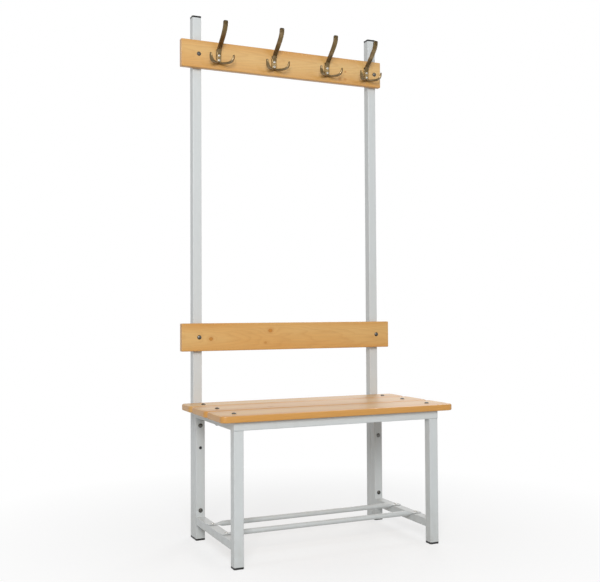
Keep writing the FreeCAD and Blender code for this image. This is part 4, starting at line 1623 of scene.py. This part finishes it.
@dataclass
class Fastenings:
    """The bolts, nuts and screws, and the plug in the one empty bolt hole.

    The tables of radii and heights outline the dome of a bolt's head and that of a screw's, in
    shares of the head's own radius and height.

    Attributes:
        zinc: Finish of the bolts and nuts, darkened as painted shade.
        bright: Finish of the screws.
        plastic: Finish of the plug.
        head: Radius and height of a bolt's domed head.
        shank: Radius of its shank.
        point: Radius of the shank's end, as a share.
        spare: How far a seat bolt reaches past its nut.
        nut: Half of a nut's width across its flats, and its height.
        nut_edge: How far a nut's corners are worn, as a share of its height.
        nut_steps: How many steps a worn corner has.
        cap_nut: Height of a cap nut.
        cap_share: Radius of its cap, as a share of half of its width.
        cap_steps: How many steps the cap's dome has.
        plug_depth: How far the plug reaches into its hole.
        pan: Radius and height of a rack screw's head.
        pan_shank: Radius and length of a rack screw's shank.
        sunk: Radius and height of a hook screw's head.
        sunk_shank: Radius of a hook screw's shank as a share of its head's, its length and its point's.
        cross: Width, depth and reach of the cross cut into a screw's head, the reach as a share.
        bolt_share: Where the bolts stand on a slat, as a share of its width from its rear edge.
        screw_levels: Heights of a hook's screws above the foot of its stem.
        rack_turns: How far a rack screw is turned for each metre along the bench and across it.
        hook_turns: How far a hook's screw is turned for each hook and for each metre up.
        steps: How many steps a turned head has.
    """

    zinc: bpy.types.Material
    bright: bpy.types.Material
    plastic: bpy.types.Material
    head: Pair = (0.007, 0.004)
    shank: float = 0.003
    point: float = 0.8
    spare: float = 0.001
    nut: Pair = (0.005, 0.005)
    nut_edge: float = 0.07
    nut_steps: int = 2
    cap_nut: float = 0.010
    cap_share: float = 0.94
    cap_steps: int = 6
    plug_depth: float = 0.006
    pan: Pair = (0.0055, 0.003)
    pan_shank: Pair = (0.0025, 0.014)
    sunk: Pair = (0.0036, 0.0009)
    sunk_shank: Triple = (0.55, 0.0165, 0.002)
    cross: Triple = (0.0011, 0.0014, 1.3)
    bolt_share: float = 0.6
    screw_levels: Pair = (0.008, 0.024)
    rack_turns: Pair = (9.0, 5.0)
    hook_turns: Pair = (1.7, 90.0)
    steps: int = 32

    HEAD_RADII = (1.00, 1.00, 0.985, 0.93, 0.82, 0.66, 0.46, 0.24, 0.00)
    HEAD_HEIGHTS = (0.00, 0.16, 0.24, 0.40, 0.58, 0.75, 0.89, 0.97, 1.00)
    PAN_RADII = (1.00, 1.00, 0.97, 0.88, 0.70, 0.40, 0.00)
    PAN_HEIGHTS = (0.00, 0.35, 0.60, 0.82, 0.95, 1.00, 1.00)

    def build(self) -> None:
        """Build every group of fasteners."""
        posts = [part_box(f"{side}_upright") for side in TubeFrame.SIDES]
        columns = [(low.x + high.x) / 2 for low, high in posts]
        self.seat_fasteners(columns)
        self.cross_fasteners(columns, posts[0][1].y)
        self.rack_screws(columns)
        self.hook_screws()

    def seat_fasteners(self, columns: Sequence[float]) -> None:
        """Set the bolts that hold the slats and the nuts under the crossbars.

        Args:
            columns: Where the bolts stand along the bench.
        """
        slats = [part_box(f"{name}_seat_slat") for name in ("rear", "middle", "front")]
        top = slats[0][1].z
        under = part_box("left_top_crossbar")[0].z
        length = top - under + self.nut[1] + self.spare
        bolts, nuts = Form("seat_carriage_bolts"), Form("seat_hexagon_nuts")
        for x in columns:
            for low, high in slats:
                y = high.y - self.bolt_share * (high.y - low.y)
                self.bolt(bolts, Vector((x, y, top)), Heading.UP, length)
                self.hexagon(nuts, self.placed(Vector((x, y, under - self.nut[1])), Heading.UP))
        bolts.finish(self.zinc, Slot.ZINC, "seat_bolts")
        nuts.finish(self.zinc, Slot.ZINC, "seat_nuts")

    def cross_fasteners(self, columns: Sequence[float], back: float) -> None:
        """Set the bolts through boards, legs and posts, their cap nuts, and the plug.

        Args:
            columns: Where the posts' middles are along the bench.
            back: Where the posts' rear faces are.
        """
        plug_low, plug_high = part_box("hole_plug")
        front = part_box("left_rear_leg")[0].y
        plug_place = Vector(((plug_low.x + plug_high.x) / 2, front, (plug_low.z + plug_high.z) / 2))
        low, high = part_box("leg_bolts")
        leg_levels = low.z + self.head[0], plug_place.z, high.z - self.head[0]
        board_levels = [sum(c.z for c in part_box(node)) / 2 for node in ("backrest_board", "hook_board")]
        empty = columns[0], plug_place.z
        groups = (("board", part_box("hook_board")[0].y, board_levels), ("leg", front, leg_levels))
        for name, face, levels in groups:
            bolts, nuts = Form(f"{name}_carriage_bolts"), Form(f"{name}_cap_nuts")
            for x, z in ((x, z) for x in columns for z in levels if (x, z) != empty):
                self.bolt(bolts, Vector((x, face, z)), Heading.FRONT, back - face + self.nut[1])
                self.domed_nut(nuts, Vector((x, back, z)))
            bolts.finish(self.zinc, Slot.ZINC, f"{name}_bolts")
            nuts.finish(self.zinc, Slot.ZINC, f"{name}_nuts")
        plug = Form("empty_hole_plug")
        cap = self.panned((plug_high.x - plug_low.x) / 2, front - plug_low.y)
        outline = [(0.0, -self.plug_depth), (self.shank, -self.plug_depth), (self.shank, 0.0), *cap]
        plug.turned(outline, self.steps, self.placed(plug_place, Heading.FRONT))
        plug.finish(self.plastic, Slot.PLASTIC, "hole_plug")

    def domed(self, radius: float, rise: float) -> list[Pair]:
        """Outline the high dome of a bolt's head."""
        return [(radius * r, rise * h) for r, h in zip(self.HEAD_RADII, self.HEAD_HEIGHTS)]

    def panned(self, radius: float, rise: float) -> list[Pair]:
        """Outline the flatter dome of a screw's head."""
        return [(radius * r, rise * h) for r, h in zip(self.PAN_RADII, self.PAN_HEIGHTS)]

    def placed(self, point: Vector, heading: Heading) -> Matrix:
        """Place an upright fastener at a point, with its head turned the way of its heading."""
        return Matrix.Translation(point) @ Matrix.Rotation(heading.value, 4, "X")

    def bolt(self, form: Form, point: Vector, heading: Heading, length: float) -> None:
        """Add a bolt with a domed head.

        Args:
            form: The group in the making.
            point: Where the underside of its head lies.
            heading: Which way its head points.
            length: How far its shank reaches.
        """
        dome = self.domed(*self.head)
        tip = self.shank * self.point
        foot = [(0.0, -length), (tip, -length), (self.shank, -length + self.shank - tip), (self.shank, 0.0)]
        form.turned([*foot, *dome], self.steps, self.placed(point, heading))

    def hexagon(self, form: Form, place: Matrix) -> None:
        """Add a hexagonal nut with worn corners.

        Args:
            form: The group in the making.
            place: Where its foot stands.
        """
        half, height = self.nut
        radius = half / math.cos(math.pi / 6)
        known = set(form.mesh.verts)
        made = bmesh.ops.create_cone(
            form.mesh, cap_ends=True, cap_tris=False, segments=6, radius1=radius, radius2=radius, depth=height
        )["verts"]
        bmesh.ops.translate(form.mesh, vec=(0.0, 0.0, height / 2), verts=made)
        form.bevel({e for v in made for e in v.link_edges}, height * self.nut_edge, self.nut_steps)
        bmesh.ops.transform(form.mesh, matrix=place, verts=form.since(known))

    def domed_nut(self, form: Form, point: Vector) -> None:
        """Add a cap nut behind a post.

        Args:
            form: The group in the making.
            point: Where it sits on the post.
        """
        place = self.placed(point, Heading.BACK)
        self.hexagon(form, place)
        half, height = self.nut
        radius = half * self.cap_share
        rise = self.cap_nut - height
        angles = [math.pi / 2 * k / self.cap_steps for k in range(self.cap_steps)]
        dome = [(radius * math.cos(a), height + rise * math.sin(a)) for a in angles]
        outline = [(0.0, height / 2), (radius, height / 2), *dome, (0.0, self.cap_nut)]
        form.turned(outline, self.steps, place)

    def crossed(self, outline: Sequence[Pair], top: float) -> bpy.types.Mesh:
        """Turn a screw and cut a cross into its head.

        Args:
            outline: The screw's outline, from the axis and back to it.
            top: The height of its head.

        Returns:
            The mesh data of one upright screw.
        """
        screw, cutter = Form("screw_blank"), Form("cross_cutter")
        screw.turned(outline, self.steps, Matrix.Identity(4))
        width, depth, reach = self.cross
        arm = outline[-2][0] * reach
        for turn in (0.0, math.pi / 2):
            corner = Vector((arm, width / 2, depth))
            verts = cutter.block(-corner, corner)
            bmesh.ops.rotate(cutter.mesh, matrix=Matrix.Rotation(turn, 3, "Z"), verts=verts)
            bmesh.ops.translate(cutter.mesh, vec=(0.0, 0.0, top), verts=verts)
        blank, tool = (added(form.name, form.data()) for form in (screw, cutter))
        cut = blank.modifiers.new("cross", "BOOLEAN")
        cut.operation = "DIFFERENCE"
        cut.use_self = True
        cut.object = tool
        return applied(blank, tool)

    def copied(self, form: Form, screw: bpy.types.Mesh, place: Matrix, turn: float) -> None:
        """Add a copy of a screw to a group.

        Args:
            form: The group in the making.
            screw: The mesh data of an upright screw.
            place: Where the copy stands.
            turn: How far it is turned about its own axis.
        """
        known = set(form.mesh.verts)
        form.mesh.from_mesh(screw)
        matrix = place @ Matrix.Rotation(turn, 4, "Z")
        bmesh.ops.transform(form.mesh, matrix=matrix, verts=form.since(known))

    def rack_screws(self, columns: Sequence[float]) -> None:
        """Set the screws that hold the rods.

        Args:
            columns: Where the screws stand along the bench.
        """
        shank, length = self.pan_shank
        rise = self.pan[1]
        head = self.panned(*self.pan)
        screw = self.crossed([(0.0, -length), (shank, -length), (shank, 0.0), *head], rise)
        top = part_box("rack_screws")[1].z - rise
        form = Form("rack_pan_screws")
        for node in ShoeRack.NODES:
            y = sum(c.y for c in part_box(node)) / 2
            for x in columns:
                turn = x * self.rack_turns[0] + y * self.rack_turns[1]
                self.copied(form, screw, self.placed(Vector((x, y, top)), Heading.UP), turn)
        form.finish(self.bright, Slot.ZINC, "rack_screws")

    def hook_screws(self) -> None:
        """Set the raised countersunk screws of the coat hooks."""
        radius, rise = self.sunk
        share, length, point = self.sunk_shank
        shank = radius * share
        head = self.panned(*self.sunk)
        foot = [(0.0, -length), (shank, point - length), (shank, shank - radius)]
        screw = self.crossed([*foot, *head], rise)
        form = Form("hook_sunk_screws")
        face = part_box("hook_screws")[0].y
        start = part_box("hook_board")[0].z + CoatHooks.lift
        for number, node in enumerate(CoatHooks.NODES, 1):
            low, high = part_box(node)
            for level in self.screw_levels:
                place = self.placed(Vector(((low.x + high.x) / 2, face, start + level)), Heading.FRONT)
                self.copied(form, screw, place, number * self.hook_turns[0] + level * self.hook_turns[1])
        form.finish(self.bright, Slot.ZINC, "hook_screws")


@dataclass(frozen=True)
class Lamp:
    """A soft lamp.

    Attributes:
        place: Where it hangs.
        size: Its width and height.
        power: Its power in watts.
    """

    place: Vector
    size: Pair
    power: float


@dataclass
class Studio:
    """The floor, the light and the camera.

    The key lamp lights the front, the hooks mirror the strip, and the fill hangs behind the bench.

    Attributes:
        floor_size: Length of the floor's sides.
        floor_steps: How many squares there are along a side.
        floor_colour: The floor, as it shows.
        floor_bounce: The floor, as it lights the bench from below.
        clear_radius: Distance from the bench within which the floor keeps its shadow.
        ambience: Strength of the light from all round.
        aim: The point that the lamps face.
        camera_place: Where the camera stands.
        yaw: How far it is turned to the right of the bench's own front view.
        pitch: How far it looks up.
        roll: How far it leans.
        focal_pixels: Its focal length, in pixels of an image of the frame's width.
        frame_width: Width of the image, in pixels.
        axis_rise: How far its axis lies above the image's middle, in pixels.
        sensor: Width of its sensor, in millimetres.
        sight: How far it sees.
    """

    floor_size: float = 24.0
    floor_steps: int = 8
    floor_colour: Colour = (1.0, 1.0, 1.0)
    floor_bounce: Colour = (0.76, 0.76, 0.75)
    clear_radius: float = 1.5
    ambience: float = 0.45
    aim: Vector = Vector((0.0, 0.0, 0.75))
    camera_place: Vector = Vector((-1.1993, -2.5706, 0.7288))
    yaw: float = math.radians(24.19)
    pitch: float = math.radians(1.72)
    roll: float = math.radians(-0.29)
    focal_pixels: float = 882.34
    frame_width: float = 600.0
    axis_rise: float = 6.06
    sensor: float = 36.0
    sight: float = 96.0

    WHITE = (1.0, 1.0, 1.0, 1.0)
    CLEARING = ((0.2, 0.6), (0.9, 1.0))
    MOTTLE = Patches(5.0, 3.0, ((0.0, 0.99), (1.0, 1.0)))
    LAMPS = {
        "key": Lamp(Vector((-1.7, -3.6, 2.2)), (1.5, 1.5), 104.0),
        "strip": Lamp(Vector((1.15, -2.4, 2.36)), (1.4, 0.2), 3.5),
        "fill": Lamp(Vector((2.2, 2.8, 2.8)), (1.4, 1.0), 24.0),
    }

    def build(self) -> None:
        """Build the whole studio."""
        self.floor()
        self.world()
        for name, lamp in self.LAMPS.items():
            self.hang(name, lamp)
        self.camera()
        bpy.context.scene.view_settings.view_transform = "Standard"

    def floor(self) -> None:
        """Lay a pale floor that keeps the bench's shadow and fades to white further out."""
        form = Form("studio_floor")
        steps = self.floor_steps
        bmesh.ops.create_grid(form.mesh, x_segments=steps, y_segments=steps, size=self.floor_size / 2)
        recipe = Recipe("pale_floor")
        far = recipe.worked("ShaderNodeVectorMath", "LENGTH", (recipe.place,)).outputs["Value"]
        away = recipe.math("DIVIDE", far, self.clear_radius, clamp=True)
        colour = recipe.blend(recipe.seen(), linear(self.floor_bounce), linear(self.floor_colour))
        matt = recipe.add("ShaderNodeBsdfDiffuse")
        recipe.feed(matt.inputs["Color"], recipe.blend(1.0, colour, recipe.patches(self.MOTTLE), "MULTIPLY"))
        glow = recipe.add("ShaderNodeEmission")
        mixer = recipe.add("ShaderNodeMixShader")
        white = recipe.math("MULTIPLY", recipe.ramp(away, self.CLEARING), recipe.seen())
        for socket, value in zip(mixer.inputs, (white, matt.outputs[0], glow.outputs[0])):
            recipe.feed(socket, value)
        recipe.feed(recipe.output.inputs["Surface"], mixer.outputs[0])
        data = form.data()
        data.materials.append(recipe.material)
        floor = added(form.name, data)

    def world(self) -> None:
        """Light the bench evenly from all round, before a white background."""
        world = bpy.data.worlds.new("white_studio")
        bpy.context.scene.world = world
        nodes = Nodes(world)
        background = nodes.add("ShaderNodeBackground")
        grey = (self.ambience, self.ambience, self.ambience, 1.0)
        nodes.feed(background.inputs["Color"], nodes.blend(nodes.seen(), grey, self.WHITE))
        output = nodes.add("ShaderNodeOutputWorld")
        nodes.feed(output.inputs["Surface"], background.outputs[0])

    def hang(self, name: str, lamp: Lamp) -> None:
        """Hang a lamp.

        Args:
            name: Its name.
            lamp: Its place, size and power.
        """
        data = bpy.data.lights.new(f"{name}_lamp", "AREA")
        data.shape = "RECTANGLE"
        data.size, data.size_y = lamp.size
        data.energy = lamp.power
        turn = (self.aim - lamp.place).to_track_quat("-Z", "Y").to_matrix().to_4x4()
        added(data.name, data).matrix_world = Matrix.Translation(lamp.place) @ turn

    def camera(self) -> None:
        """Set up the camera at the photograph's viewing angle."""
        data = bpy.data.cameras.new("studio_camera")
        data.sensor_fit = "HORIZONTAL"
        data.sensor_width = self.sensor
        data.lens = self.focal_pixels / self.frame_width * self.sensor
        data.shift_y = -self.axis_rise / self.frame_width
        data.clip_end = self.sight
        camera = added("studio_camera", data)
        turn = (
            Matrix.Rotation(-self.yaw, 4, "Z")
            @ Matrix.Rotation(math.pi / 2 + self.pitch, 4, "X")
            @ Matrix.Rotation(self.roll, 4, "Z")
        )
        camera.matrix_world = Matrix.Translation(self.camera_place) @ turn
        bpy.context.scene.camera = camera


def main() -> None:
    """Load the frame, build the bench round it and the studio round the bench."""
    logging.basicConfig(level=logging.INFO, format="%(message)s")
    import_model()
    paint = PowderCoat().material()
    plastic = MouldedPlastic().material()
    TubeFrame(paint).build()
    EndCaps(plastic).build()
    Boards().build()
    CoatHooks(BronzedCasting().material()).build()
    ShoeRack(paint).build()
    Fastenings(ZincPlateWithPaintedShade().material(), BrightZincPlate().material(), plastic).build()
    Studio().build()


if __name__ == "__main__":
    main()
